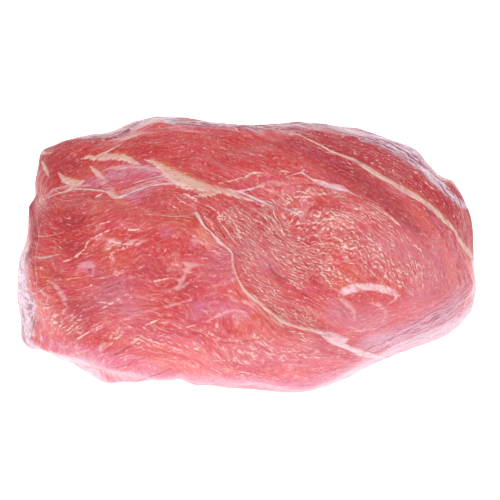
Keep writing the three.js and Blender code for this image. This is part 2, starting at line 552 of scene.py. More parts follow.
VEILS = (
    ((104, 170, 0.8), (120, 167, 2.6), (140, 167.5, 2.8), (160, 171, 1.4)),
    ((118, 192, 0.8), (138, 187.5, 2.6), (158, 181.5, 2.8), (174, 177.5, 1.4)),
    ((96, 172, 1.2), (103, 180, 3.2), (109, 188, 3.4), (114, 195, 1.6)),
    ((46, 197, 0.6), (58, 189.5, 2.2), (72, 187, 2.4), (90, 186, 0.8)),
    ((338, 299, 0.8), (346, 303, 2.2), (353, 310, 1.6), (355, 319, 0.6)),
    ((370, 303, 0.5), (380, 306, 1.7), (386, 313, 1.3), (383, 323, 0.5)),
    ((350, 327, 0.5), (361, 331, 1.5), (374, 327, 0.6)),
    ((257, 187, 0.5), (263, 183.5, 1.9), (271, 182, 2.5), (279, 182.5, 2.1), (287, 184.5, 0.5)),
    ((184, 263.5, 0.9), (191, 265.5, 2.4), (199, 265.5, 1.0)),
    ((190, 267, 1.6), (185.5, 273.5, 1.4), (183, 280, 1.6), (176, 288, 1.2), (160, 294, 0.4)),
    (
        (104, 238.5, 0.6), (112, 240.5, 1.8), (122, 242.5, 2.6), (133, 242.5, 2.8), (140, 241.5, 1.6),
        (145, 240.5, 0.6),
    ),
    ((78, 268, 1.0), (84, 265, 2.6), (90, 264.5, 2.6), (93, 268, 1.4), (92, 276, 0.6)),
    ((50, 282, 0.8), (57, 288, 2.2), (63, 296, 2.4), (66, 304, 0.8)),
    ((206, 322, 0.4), (218, 316, 1.2), (232, 311, 1.4), (246, 312, 0.6)),
    ((160, 296, 0.4), (172, 291, 1.0), (184, 286, 1.2), (200, 276, 0.6)),
    ((120, 321, 0.4), (140, 314, 0.9), (165, 307, 1.0), (190, 300, 0.5)),
    ((232, 300, 0.4), (247, 303, 1.2), (262, 312, 1.8), (276, 322, 1.2), (290, 328, 0.5)),
)
# Painted highlights: short glints on the wet fibres, drawn as strips.
PAINTED_GLINTS = (
    ((181, 193.5, 0.38), (186, 195, 1.2), (191, 197, 1.35), (195.5, 198.2, 0.45)),
    ((176, 197.5, 0.25), (181, 201, 0.6), (187, 204.5, 0.45), (192, 206.5, 0.25)),
    ((203, 213.5, 0.38), (206, 217.5, 0.83), (209.5, 221, 0.75), (212, 225, 0.25)),
    ((212, 226, 0.3), (215, 231, 0.6), (218, 236, 0.45)),
    ((214, 210, 0.3), (219, 214.5, 0.75), (221.5, 217.5, 0.6), (223, 221, 0.25)),
    ((217, 217, 0.3), (221, 223, 0.68), (226, 229, 0.6), (231, 237, 0.38), (234, 241, 0.25)),
    ((224, 212, 0.25), (229, 216.5, 0.6), (234, 222, 0.6), (239, 229, 0.38)),
    ((206, 205, 0.25), (213, 208.5, 0.45), (219, 213, 0.45)),
    ((236, 232.5, 0.45), (239, 235, 1.35), (242, 238.5, 0.45)),
    ((97, 225.5, 0.25), (103, 223.5, 0.52), (110, 222, 0.3)),
    ((89, 239.5, 0.25), (96, 236.5, 0.6), (104, 232.5, 0.6), (114, 229, 0.3)),
    ((124, 228.5, 0.45), (130, 229.5, 0.75), (136, 229.5, 0.68), (138, 228.5, 0.25)),
    ((62, 262, 0.3), (70, 259, 0.6), (76, 256, 0.75), (82, 251.5, 0.6), (86, 245, 0.6), (88, 241, 0.25)),
    ((103, 259, 0.25), (112, 253, 0.45), (120, 249.5, 0.38), (127, 247.5, 0.25)),
    ((148, 281.5, 0.38), (155, 281, 0.9), (163, 279.5, 0.98), (170, 278, 0.68)),
    ((100, 310, 0.25), (108, 305, 0.45), (118, 299.5, 0.38), (127, 294.5, 0.25)),
    ((127, 326, 0.3), (129, 327, 1.2), (131, 328, 0.38)),
    ((147, 325, 0.45), (152, 323, 0.9), (157, 320.5, 0.6)),
    ((75, 340, 0.25), (84, 335, 0.45), (93, 330, 0.38), (103, 325, 0.25)),
    ((28, 333.5, 0.75), (33, 334, 1.2), (38, 335.5, 0.6)),
    ((134, 377.5, 0.38), (137, 378, 1.05), (139, 380, 0.38)),
    ((216, 371, 0.3), (219, 372.5, 0.9), (223, 374, 0.38)),
    ((235, 373, 0.3), (243, 372, 0.52), (252, 374, 0.45), (260, 376, 0.3)),
    ((212, 361.5, 0.25), (222, 361.5, 0.45), (230, 360.5, 0.38), (236, 358.5, 0.25)),
    ((178, 328, 0.38), (188, 326.5, 0.52), (196, 324, 0.38), (203, 321.5, 0.25)),
    ((290, 331, 0.3), (296, 332, 0.68), (304, 334, 0.3)),
    ((90, 200.5, 0.38), (95, 198, 1.05), (100, 196, 0.9), (102, 194.5, 0.3)),
    ((81, 210, 0.3), (84, 206.5, 0.75), (86, 203.5, 0.3)),
    ((170, 205, 0.3), (174, 207.5, 0.6), (178, 209.5, 0.3)),
    ((234, 130, 0.3), (236.5, 132, 0.75), (239, 134, 0.3)),
    ((220, 183, 0.3), (230, 180.5, 0.52), (238, 178, 0.52), (246, 176, 0.3)),
    ((112, 241.5, 0.3), (120, 243.5, 0.5), (130, 244.5, 0.5), (140, 243, 0.3)),
)
# The pixels of short painted glints, each drawn as a short level stroke.
GLINT_SPECKS = ((253, 349), (252, 353), (253, 356.5), (252.5, 359.5), (178, 349), (281, 357), (244, 364))
# Painted shade in creases, as dark lines; the last stroke is a blood dot.
CREASES = (
    ((201.5, 219, 0.5), (206, 225, 1.0), (211, 231, 1.0), (216, 236, 0.5)),
    ((210, 216, 0.3), (215, 222, 0.8), (220, 229, 0.6), (224, 236, 0.3)),
    ((233, 252, 0.5), (237, 255, 1.2), (240, 257.5, 0.4)),
    ((269, 265, 0.4), (272, 270.5, 1.5), (276, 277, 1.3), (279, 280, 0.4)),
    ((282, 274, 0.4), (285.5, 278, 1.3), (289, 281, 0.4)),
    ((108, 287, 0.4), (114, 285, 0.8), (120, 282, 0.5)),
    ((219, 341.5, 0.2), (232, 342.5, 0.3), (244, 341.5, 0.3), (255, 340.5, 0.2)),
    ((222, 314, 0.2), (224, 320, 0.5), (222.5, 326, 0.2)),
    ((83, 369, 0.2), (100, 370, 0.4), (118, 366, 0.5), (135, 361, 0.4), (148, 356, 0.2)),
    ((111, 355, 0.4), (120, 352, 0.9), (128, 347.5, 0.6), (136, 344, 0.3)),
    ((140, 379, 0.3), (150, 375.5, 0.6), (160, 373, 0.7), (172, 368.5, 0.4)),
    ((88.3, 267.5, 0.6), (89, 270, 1.8), (89.5, 272, 0.6)),
)

STROKES = (
    Stroke(Tissue.FAT, CAP_SEAM, 0.3),
    Stroke(Tissue.FAT, CAP_SEAM_BEHIND, 0.2, far=True),
    Stroke(Tissue.FAT, FRONT_SEAM, 0.25),
    Stroke(Tissue.FAT, graded(FRONT_SEAM_BEHIND[7:], (0.9, 8)), 0.1, far=True),
    *(Stroke(tissue, stops, lift, far) for tissue, lift, far, lines in (
        (Tissue.FAT, 0.2, True, FAT_BEHIND),
        (Tissue.SINEW, 0.1, True, SINEW_BEHIND),
        (Tissue.FAT, 0.15, False, FAT_STRIPS),
        (Tissue.SINEW, 0.15, False, SINEW_STRIPS),
        (Tissue.VEIL, 0.05, False, VEILS),
        (Tissue.PAINTED_GLINT, 0.1, False, PAINTED_GLINTS),
        (Tissue.PAINTED_GLINT, 0.1, False, [
            ((x - 2.5, y, 0.2), (x, y, 0.8), (x + 2.5, y, 0.2)) for x, y in GLINT_SPECKS
        ]),
        (Tissue.CREASE, -0.2, False, CREASES),
    ) for stops in lines),
)

# The steps at the seams and rims: the stops, how far the step fades to the sides, how deep a groove
# runs along it, and how far aside of the stops it is.
LEFT_END_FOLD = (
    (34, 212, 0.4), (35.5, 235, 0.8), (32.5, 257, 1.4), (36, 283, 1.5), (35, 307, 1.5), (35, 332, 1.5),
)
LEFT_FOOT_FOLD = (
    (35, 332, 1.0), (48, 345, 1.2), (60, 353, 1.2), (73, 355.8, 1.2), (86.7, 353, 1.0), (97, 344, 0.6),
)
FOLDS = (
    Fold(graded(CAP_SEAM, (0.2, 6), (0.8, 12), (0.5, 4)), 5, 0.5),
    Fold(graded(FRONT_SEAM[:6], (-0.5, 6)), 6, 0.0, 2.0),
    Fold(graded(FRONT_SEAM[6:], (-1.4, 5), (-0.9, 6), (-0.7, 6)), 8, 0.15, 2.0),
    Fold(graded(LEFT_SEAM, (-0.6, 8)), 6, 0.0, 1.5),
    Fold(LEFT_END_FOLD, 5, 0.4),
    Fold(LEFT_FOOT_FOLD, 5, 0.3),
    Fold(((121, 131, -1.2), (108, 138, -0.9), (92, 145, -0.5), (80, 152, -0.2)), 6, 0.3),
    Fold(((93, 374, 0.2), (104, 370.5, 0.3), (117, 366.5, 0.3), (138, 360, 0.1)), 4, 0.15),
    Fold(((125, 374, 0.1), (138, 369, 0.3), (152, 363, 0.2)), 4, 0.15),
    Fold(((232, 258, 0.1), (229, 272, 0.3), (225, 283, 0.3), (214, 293, 0.2), (198, 302, 0.1)), 6),
    Fold(((36, 259, 0.3), (52, 257, 0.5), (66, 262, 0.4)), 5, 0.2),
    Fold(((150, 330, -0.3), (180, 333, -0.6), (215, 332, -0.5), (240, 328, -0.3)), 5, 0.2),
    Fold(graded(CAP_SEAM_BEHIND[1:], (-1.2, 11)), 8, 0.5, far=True),
    Fold(graded(FRONT_SEAM_BEHIND[1:], (1.0, 14)), 8, 0.5, far=True),
    Fold(((105, 290, -0.3), (135, 281, -0.8), (170, 278, -0.7), (200, 268, -0.3)), 5, 0.2),
)

# The washes of each tone: the strength, and for every stop a pixel and the reach there.
WASHES_SEEN = {
    Tone.DARK: (
        (0.9, (
            (290, 143, 5), (310, 150, 6), (325, 157, 7), (345, 169, 8), (362, 182, 8), (378, 195, 8),
            (394, 208, 7), (408, 221, 5.5), (418, 232, 2.5),
        )),
        (0.9, ((33, 204, 6), (31, 222, 9), (29, 238, 7), (26, 250, 5))),
        (0.7, ((62, 222, 2.5), (72, 223, 3.5), (84, 220, 2.5))),
        (0.6, ((66, 246, 3), (74, 250, 3.5), (80, 246, 2.5))),
        (0.6, ((52, 274, 3), (60, 276, 3))),
        (0.5, ((70, 303, 4), (78, 311, 5), (76, 320, 3))),
        (0.4, ((140, 268, 4), (152, 266, 4), (160, 270, 3))),
        (0.6, ((181, 284.5, 1.8), (189, 286, 2.2))),
        (0.6, ((36, 180, 5), (40, 165, 6), (55, 160, 7), (75, 165, 6))),
        (0.5, ((440, 200, 4), (450, 210, 5), (458, 222, 5))),
        (0.9, ((453, 188, 4), (462, 202, 5), (468, 218, 6), (472, 238, 6))),
        (0.7, ((43, 152, 5), (62, 146, 7), (82, 141, 7), (104, 137, 6))),
    ),
    Tone.RED: (
        (0.9, (
            (60, 152, 8), (100, 150, 9), (150, 145, 11), (200, 143, 12), (250, 148, 13), (290, 160, 9),
        )),
        (0.8, ((48, 165, 8), (58, 180, 8), (85, 168, 7))),
        (0.4, ((112, 262, 5), (130, 252, 6), (160, 247, 5), (190, 247, 4))),
        (0.7, ((262, 178, 5), (300, 180, 6), (330, 196, 5))),
        (0.7, ((98, 341, 3), (127, 342, 3))),
        (0.7, ((205, 320, 3), (225, 321, 3))),
        (0.7, ((145, 357, 3), (168, 357, 3))),
        (0.9, ((31, 205, 6), (30, 220, 8), (29, 235, 7), (27, 248, 5))),
        (0.9, ((292, 212, 2.5), (312, 211, 3), (335, 210, 2.5), (350, 212, 2))),
        (0.9, ((46, 212, 5), (60, 214, 7), (78, 222, 6), (92, 218, 4))),
        (0.8, ((56, 238, 5), (72, 240, 6), (84, 235, 5))),
        (0.9, ((104, 254, 2.5), (114, 248, 3), (124, 243, 2))),
        (0.8, ((112, 234, 3), (130, 235, 3), (146, 236, 3), (160, 240, 3))),
        (0.7, ((150, 248, 3), (175, 249, 3.5), (195, 251, 3))),
        (0.8, ((70, 262, 2), (76, 258, 2), (82, 254, 1.6))),
        (0.7, ((44, 335, 4), (56, 344, 4.5), (72, 350, 4), (86, 349, 3.5))),
        (0.8, ((218, 329, 2), (230, 331, 3), (240, 333, 2))),
        (0.6, ((210, 297, 3), (222, 300, 3))),
        (0.9, ((458, 212, 5), (464, 222, 6), (468, 236, 5))),
        (0.9, ((451, 180, 3), (460, 190, 4), (467, 202, 5), (471, 216, 6))),
        (0.8, ((218, 160, 6), (245, 162, 7), (272, 166, 6))),
        (0.6, ((290, 152, 5), (318, 162, 6), (340, 176, 6))),
        (0.8, ((350, 298, 3), (365, 299, 4), (382, 300, 3))),
    ),
    Tone.PALE: (
        (0.35, ((104, 300, 7), (118, 292, 8), (128, 305, 8))),
        (0.3, ((196, 312, 5), (222, 308, 6), (240, 310, 5))),
        (0.45, ((335, 313, 6), (360, 322, 9), (385, 322, 8))),
        (0.9, (
            (130, 375, 8), (160, 377, 7), (190, 380, 7), (215, 383, 8), (250, 384, 9), (290, 388, 9),
            (330, 380, 10), (365, 366, 10),
        )),
        (0.9, ((372, 345, 10), (405, 338, 13), (435, 322, 12), (458, 303, 9))),
        (0.3, ((240, 356, 12), (300, 356, 14), (345, 350, 12))),
        (0.36, ((380, 245, 9), (410, 255, 11), (435, 275, 12), (420, 305, 12))),
        (0.3, ((215, 268, 8), (240, 250, 6), (262, 262, 9))),
        (0.9, ((50, 352, 4), (70, 362, 6), (92, 364, 6), (115, 372, 8), (135, 376, 7))),
    ),
    Tone.LILAC: (
        (0.8, ((44, 338, 4), (56, 346, 5), (72, 350, 5), (86, 350, 5))),
        (0.4, ((265, 350, 7), (295, 362, 8), (330, 362, 7))),
        (0.45, ((95, 184, 7), (122, 175, 8), (148, 170, 7), (160, 178, 6))),
        (0.35, ((245, 131, 3), (270, 140, 4), (295, 147, 4.5), (320, 155, 5), (335, 162, 5))),
        (0.5, ((120, 330, 5), (160, 338, 5), (200, 341, 4))),
        (0.5, ((200, 306, 4), (228, 312, 5), (245, 312, 3))),
        (0.7, ((88, 185, 6), (110, 178, 8), (138, 172, 8), (158, 176, 6))),
        (0.5, ((430, 215, 3), (442, 228, 4), (454, 245, 5), (463, 262, 5), (468, 285, 5))),
        (0.7, ((160, 374, 5), (190, 376, 5), (220, 379, 5), (250, 380, 6), (290, 383, 6), (330, 376, 7))),
        (1.0, ((88, 352, 5), (108, 360, 9), (128, 362, 9), (148, 368, 7))),
        (1.0, ((92, 372, 7), (110, 380, 10), (130, 381, 10), (150, 380, 8))),
        (0.35, ((55, 320, 8), (95, 325, 9), (150, 330, 9), (210, 325, 8), (245, 318, 6))),
        *spots(
            (135, 197, 6, 0.7), (167, 233, 4, 0.7), (194, 244, 4, 0.6), (212, 294, 4, 0.6),
            (226, 309, 5, 0.6), (87, 268, 5, 0.8), (100, 275, 6, 0.4), (270, 183, 5, 0.5),
        ),
    ),
    Tone.ORANGE: (
        (0.7, ((338, 282, 3), (350, 279, 4), (362, 279, 3))),
        *spots(
            (180, 222, 8, 0.8), (205, 235, 7, 0.8), (120, 205, 6, 0.8), (100, 205, 6, 0.6),
            (240, 292, 5, 0.5), (265, 320, 6, 0.6), (300, 338, 6, 0.4), (155, 165, 4, 0.6),
            (345, 277, 5, 0.5), (42, 275, 6, 0.5), (110, 250, 8, 0.4), (90, 172, 5, 0.5),
        ),
    ),
    Tone.CRIMP: (
        (0.9, ((238, 212, 5), (246, 232, 7), (256, 252, 8))),
        (1.0, ((262, 214, 4), (276, 228, 8), (288, 252, 9), (300, 272, 7))),
        (1.0, ((264, 208, 3), (285, 200, 3), (305, 194, 3.5), (328, 192, 3), (345, 197, 2))),
        (1.0, ((292, 216, 5), (315, 222, 7), (345, 216, 7), (372, 214, 5), (392, 228, 4))),
        (0.9, ((308, 240, 8), (322, 262, 8), (335, 276, 6))),
        (1.0, ((345, 240, 8), (380, 258, 9), (405, 270, 8), (420, 278, 6))),
        (0.7, ((245, 268, 6), (262, 292, 8), (290, 312, 8), (322, 322, 5))),
        (0.8, ((48, 300, 7), (62, 318, 9), (75, 332, 7))),
        (0.5, ((120, 335, 7), (190, 345, 9), (260, 350, 11), (310, 352, 9))),
        (0.5, ((400, 240, 6), (425, 250, 6), (435, 275, 5))),
    ),
    Tone.CREASED: (
        (1.0, ((365, 352, 5), (390, 345, 9), (420, 330, 11), (445, 312, 10))),
        (0.9, ((430, 213, 4), (445, 232, 5), (455, 250, 6), (463, 270, 7), (464, 292, 6))),
        (0.7, ((48, 146, 3), (80, 140, 4), (112, 136, 5))),
    ),
    Tone.SKIN: (
        (0.8, ((88, 139, 3), (104, 135.5, 4), (120, 130, 5), (132, 124, 4))),
        (1.0, (
            (132, 123, 4), (150, 120, 5), (175, 120, 5), (205, 122, 4), (228, 125, 3.5), (250, 127, 3.5),
        )),
        (1.0, (
            (265, 126, 3), (290, 125, 5), (320, 126, 6), (342, 130, 7), (362, 136, 8), (382, 143, 9),
            (400, 151, 9), (411, 158, 9), (421, 167, 7.5), (431, 176, 6), (440, 185, 4.5),
            (448, 193.5, 3.5), (457, 201.5, 2.8), (465, 207, 2.2),
        )),
        (0.26, ((88, 185, 4), (110, 177, 5), (138, 169, 5), (158, 172, 4))),
        (0.26, ((118, 194, 3), (135, 194, 4), (150, 198, 4), (165, 206, 3))),
        (1.0, ((23, 258, 5), (20, 270, 11), (20, 290, 15), (21, 310, 15), (24, 330, 11))),
    ),
    Tone.MILKY: (
        (0.5, ((26, 266, 5), (23, 285, 9), (25, 310, 9), (28, 332, 7), (40, 346, 4.5))),
        (1.0, ((34, 344, 5), (48, 352, 6), (65, 359, 6.5), (82, 366, 6.5), (95, 376, 5.5))),
        (1.0, (
            (350, 374, 6), (366, 367, 8), (385, 357, 9), (405, 349, 10), (430, 339, 10), (455, 326, 9),
            (468, 312, 7),
        )),
        (0.42, ((378, 346, 8), (412, 331, 10), (445, 314, 9))),
        (0.7, ((474, 296, 8), (476, 276, 7), (474, 262, 6))),
        (0.7, ((160, 381, 5), (180, 384, 6), (215, 387, 6), (260, 391, 6), (300, 391, 6), (340, 380, 7))),
        (0.4, ((99, 181, 4), (118, 174, 5), (140, 169, 5), (157, 172, 4))),
        (0.4, ((122, 195, 3), (136, 195, 4), (150, 192, 4), (160, 190, 3))),
    ),
    Tone.EVEN: (
        (0.85, (
            (396, 232, 5), (424, 245, 8), (440, 270, 11), (432, 296, 12), (402, 306, 10), (372, 313, 7),
        )),
    ),
}
WASHES_BEHIND = {
    Tone.RED: (
        (0.9, ((458, 192, 8), (464, 204, 9), (470, 222, 9), (473, 242, 8))),
    ),
    Tone.SKIN: (
        (0.5, ((90, 136, 5), (130, 125, 7), (175, 120, 8), (228, 125, 8), (290, 125, 8))),
        (0.5, ((290, 125, 8), (342, 130, 9), (390, 142, 9), (425, 162, 8), (445, 180, 5))),
    ),
    Tone.MILKY: (
        (0.55, ((18.5, 278, 6), (18.5, 290, 12), (18.5, 305, 13), (22, 328, 9))),
    ),
}
WASHES = [
    Wash(tone, strength, stops, far)
    for far, table in ((False, WASHES_SEEN), (True, WASHES_BEHIND))
    for tone, rows in table.items()
    for strength, stops in rows
]

# The lines that the fibres of each muscle follow.
GRAINS_SEEN = {
    Muscle.CAP: (
        ((260, 124), (300, 130), (345, 145), (385, 165), (420, 190), (450, 222), (468, 245)),
        ((330, 130), (380, 145), (420, 165), (452, 190)),
    ),
    Muscle.BODY: (
        ((50, 160), (70, 150), (92, 138), (118, 131)),
        ((85, 160), (123, 147), (150, 139), (190, 133), (240, 138)),
        ((120, 150), (160, 150), (200, 152), (225, 166)),
        ((190, 165), (230, 172), (270, 178)),
        ((250, 135), (300, 152), (350, 180), (400, 216), (440, 254), (462, 292)),
        ((240, 155), (290, 165), (340, 188), (385, 218), (425, 255)),
        ((60, 190), (100, 184), (133, 182), (167, 174)),
        ((120, 197), (153, 187), (182, 186)),
        ((177, 198), (193, 207), (203, 218)),
        ((203, 213), (215, 232), (232, 250)),
        ((218, 213), (233, 237), (247, 260), (277, 292), (310, 318)),
        ((238, 275), (253, 290), (277, 307), (302, 322)),
        ((258, 212), (264, 238), (277, 272), (290, 288)),
        ((275, 212), (286, 237), (302, 260), (325, 285)),
        ((262, 205), (285, 200), (310, 192)),
        ((285, 222), (310, 212), (345, 205), (375, 212)),
        ((300, 235), (330, 226), (360, 222), (390, 232)),
        ((315, 245), (353, 248), (385, 264), (407, 285)),
        ((378, 258), (390, 272), (402, 287)),
        ((412, 252), (416, 268), (420, 288)),
        ((447, 232), (458, 257), (470, 285)),
    ),
    Muscle.FRONT: (
        ((36, 240), (60, 233), (84, 222), (105, 205)),
        ((72, 258), (85, 246), (110, 223), (130, 213)),
        ((36, 259), (52, 257), (62, 262)),
        ((103, 257), (127, 245), (157, 232), (190, 226)),
        ((60, 310), (80, 300), (103, 290), (135, 281), (170, 277), (200, 266), (226, 256)),
        ((60, 335), (77, 320), (110, 305), (150, 297), (177, 287), (215, 272), (228, 264)),
        ((160, 249), (190, 248), (218, 248)),
        ((160, 224), (180, 223), (205, 234), (224, 250)),
        ((90, 350), (130, 340), (160, 342), (210, 343), (260, 342), (310, 345)),
        ((200, 320), (230, 315), (255, 318), (280, 330)),
        ((150, 322), (200, 330), (250, 332)),
        ((240, 360), (290, 358), (330, 358), (385, 362)),
        ((90, 372), (117, 366), (140, 360), (180, 362), (240, 375), (300, 380), (340, 372)),
        ((38, 300), (60, 291), (82, 284)),
        ((40, 330), (56, 318), (80, 306)),
    ),
    Muscle.HEEL: (
        ((330, 350), (360, 338), (390, 322), (430, 306), (470, 292)),
        ((345, 362), (380, 350), (420, 332), (465, 308)),
        ((380, 362), (415, 348), (450, 330), (472, 310)),
        ((350, 324), (375, 316), (400, 309), (430, 300)),
    ),
}
GRAINS_BEHIND = {
    Muscle.CAP: (
        ((245, 130), (290, 155), (350, 185), (410, 215), (460, 245)),
    ),
    Muscle.BODY: (
        ((40, 170), (90, 165), (150, 165), (225, 160)),
        ((40, 205), (100, 195), (170, 190), (230, 180)),
        ((200, 150), (232, 152), (262, 165), (290, 182)),
        ((468, 275), (440, 280), (420, 275)),
    ),
    Muscle.FRONT: (
        ((30, 240), (100, 245), (180, 232), (260, 222), (320, 218), (380, 245)),
        ((60, 270), (150, 272), (260, 262), (340, 262), (400, 290)),
        ((30, 300), (110, 310), (200, 310), (290, 300), (370, 320)),
        ((60, 350), (150, 360), (250, 370), (340, 365)),
    ),
}
GRAINS = [
    Grain(muscle, stops, far)
    for far, table in ((False, GRAINS_SEEN), (True, GRAINS_BEHIND))
    for muscle, lines in table.items()
    for stops in lines
]

# At angles round the rim, in degrees: the depth beyond which silverskin covers the hidden side.
SKIN_EDGE = (
    (-180, -28), (-172, -26), (-164, -10), (-150, -6), (-120, -12), (-90, -16), (-55, -12), (-38, -4),
    (-20, -2), (-10, -8), (-2, -28), (12, -32), (20, -20), (30, 0), (60, 0), (90, 0), (130, 0), (145, -4),
    (160, -14), (172, -28), (180, -28),
)

# The outline of the roast in the photograph.
RIM = (
    (474, 256), (473.5, 240), (472.5, 224), (470, 213), (466, 203), (462, 194), (457, 186), (453, 179.5),
    (447, 178), (440, 173.5), (432, 166), (424, 157.5), (419, 151.5), (414, 147), (408, 144), (400, 141),
    (390, 138), (380, 134.5), (370, 131), (355, 127), (335, 124.5), (315, 122.5), (295, 121.5), (282, 123),
    (268, 124), (250, 124.5), (238, 124), (222, 122.5), (206, 120.5), (190, 117), (175, 116), (158, 115.5),
    (148, 117), (136, 120), (124, 125), (114, 130), (104, 132.5), (90, 133.5), (74, 136.5), (58, 141),
    (48, 146), (41, 151), (39, 160), (36, 172), (34.5, 185), (35, 196), (30, 203), (28, 210), (28.5, 220),
    (27, 232), (24.5, 244), (20, 256), (18, 268), (17, 285), (17, 300), (20, 314), (21, 326), (20.5, 334),
    (24, 344), (29, 350), (38, 352), (48, 354), (58, 359.5), (70, 363), (80, 369), (90, 375), (99, 381),
    (110, 384.5), (124, 383), (138, 383), (150, 381), (160, 381), (172, 381), (179, 379), (187, 382.5),
    (196, 385.5), (210, 385.5), (228, 388), (248, 389), (266, 391), (284, 393), (300, 392.5), (314, 390.5),
    (328, 386), (342, 380.5), (356, 373.5), (370, 366.5), (384, 360.5), (400, 354), (420, 347),
    (440, 339.5), (455, 331), (465, 320), (472, 310), (475, 298), (476.5, 285), (475, 270),
)


class Seams:
    """Which muscle each part of the skin belongs to. Distances are measured as far as the reach."""

    reach: float = 12.0
    corner: float = 2.0

    def __init__(self, skin: Skin) -> None:
        """Measures the skin against the seams between the muscles.

        Args:
            skin: The skin.
        """
        front_path = (*LEFT_SEAM, *(s[:2] for s in FRONT_SEAM[1:]), *FRONT_SEAM_END[1:])
        front_behind = FRONT_SEAM_BEHIND[::-1]
        self.cap = self.signed(skin, (CAP_SEAM, CAP_FENCE), (CAP_SEAM_BEHIND, CAP_FENCE))
        self.front = self.signed(skin, (front_path, FRONT_FENCE), (front_behind, FRONT_FENCE))
        self.heel = self.signed(skin, (HEEL_SEAM, HEEL_FENCE), (HEEL_SEAM_BEHIND, HEEL_FENCE_BEHIND))

    def signed(self, skin: Skin, *paths: tuple[Sequence[Sequence[float]], Sequence[Pixel]]) -> np.ndarray:
        """Gives the distance from the seam round a muscle, positive inside it.

        Args:
            skin: The skin.
            paths: The seam on the side that shows and on the far side, each with the fence that closes it.

        Returns:
            The distance of each vertex.
        """
        distance = np.full(len(skin.points), self.reach)
        inside = np.zeros(len(skin.points), bool)
        for (seam, fence), far in zip(paths, (False, True)):
            stops = [stop[:2] for stop in seam]
            inside |= ((skin.depth < 0) == far) & enclosed(skin.pixels, (*stops, *fence))
            line = skin.trace(stops, far)
            chosen = skin.near(line, self.reach)
            distance[chosen] = np.minimum(distance[chosen], skin.measure(line, chosen)[0])
        return np.where(inside, distance, -distance)

    def holds(self, muscle: Muscle, spare: float) -> np.ndarray:
        """Tells which vertices belong to a muscle, with a margin round it.

        Args:
            muscle: The muscle.
            spare: The margin's width.

        Returns:
            True for each vertex that does.
        """
        if muscle is Muscle.CAP:
            return self.cap > -spare
        if muscle is Muscle.FRONT:
            return self.front > -spare
        if muscle is Muscle.HEEL:
            return (self.heel > -spare) & (self.front < spare)
        outside = np.maximum.reduce([self.cap, self.front, self.heel]) < spare
        return outside & (self.cap + self.front < -self.corner)


class Fibres:
    """Places on the skin measured along and across the fibres, in millimetres, for each muscle."""

    margin: float = 5.0
    step: float = 6.0
    softness: float = 4.0
    rounds: int = 400
    apart: float = 40.0

    def __init__(self, skin: Skin, seams: Seams) -> None:
        """Follows the fibres of every muscle.

        Args:
            skin: The skin.
            seams: Which muscle each part of the skin belongs to.
        """
        self.charts = {muscle: self.follow(skin, seams, muscle) for muscle in Muscle}
        self.places = self.charts[Muscle.BODY]
        sides = {Muscle.CAP: seams.cap, Muscle.HEEL: seams.heel, Muscle.FRONT: seams.front}
        for muscle, inside in sides.items():
            self.places = np.where((inside > 0)[:, None], self.charts[muscle], self.places)

    def follow(self, skin: Skin, seams: Seams, muscle: Muscle) -> np.ndarray:
        """Follows the fibres of one muscle.

        Args:
            skin: The skin.
            seams: Which muscle each part of the skin belongs to.
            muscle: The muscle.

        Returns:
            A row for each vertex: along, across, and a number that tells the muscle.
        """
        held = np.nonzero(seams.holds(muscle, self.margin))[0]
        lines = [skin.trace(g.stops, g.far, self.step) for g in GRAINS if g.muscle is muscle]
        middles = np.vstack([(line[1:, :3] + line[:-1, :3]) / 2 for line in lines])
        headings = np.vstack([line[1:, :3] - line[:-1, :3] for line in lines])
        headings /= np.linalg.norm(headings, axis=1, keepdims=True) + TINY
        points, normals = skin.points[held], skin.normals[held]
        squares = ((points[:, None, :] - middles[None, :, :]) ** 2).sum(2)
        weights = 1 / (squares + self.softness) ** 2
        along = weights @ headings
        along -= (along * normals).sum(1, keepdims=True) * normals
        along /= np.linalg.norm(along, axis=1, keepdims=True) + TINY
        across = np.cross(normals, along)
        number = np.full(len(skin.points), -1)
        number[held] = np.arange(len(held))
        edges = number[skin.edges]
        edges = edges[(edges >= 0).all(1)]
        steps = points[edges[:, 1]] - points[edges[:, 0]]
        chart = np.zeros((len(skin.points), 3))
        for column, heading in enumerate((along, across)):
            rises = (steps * (heading[edges[:, 0]] + heading[edges[:, 1]]) / 2).sum(1)
            chart[held, column] = settle(edges, rises, points @ heading.mean(0), self.rounds)
        chart[:, 2] = self.apart * list(Muscle).index(muscle)
        return chart


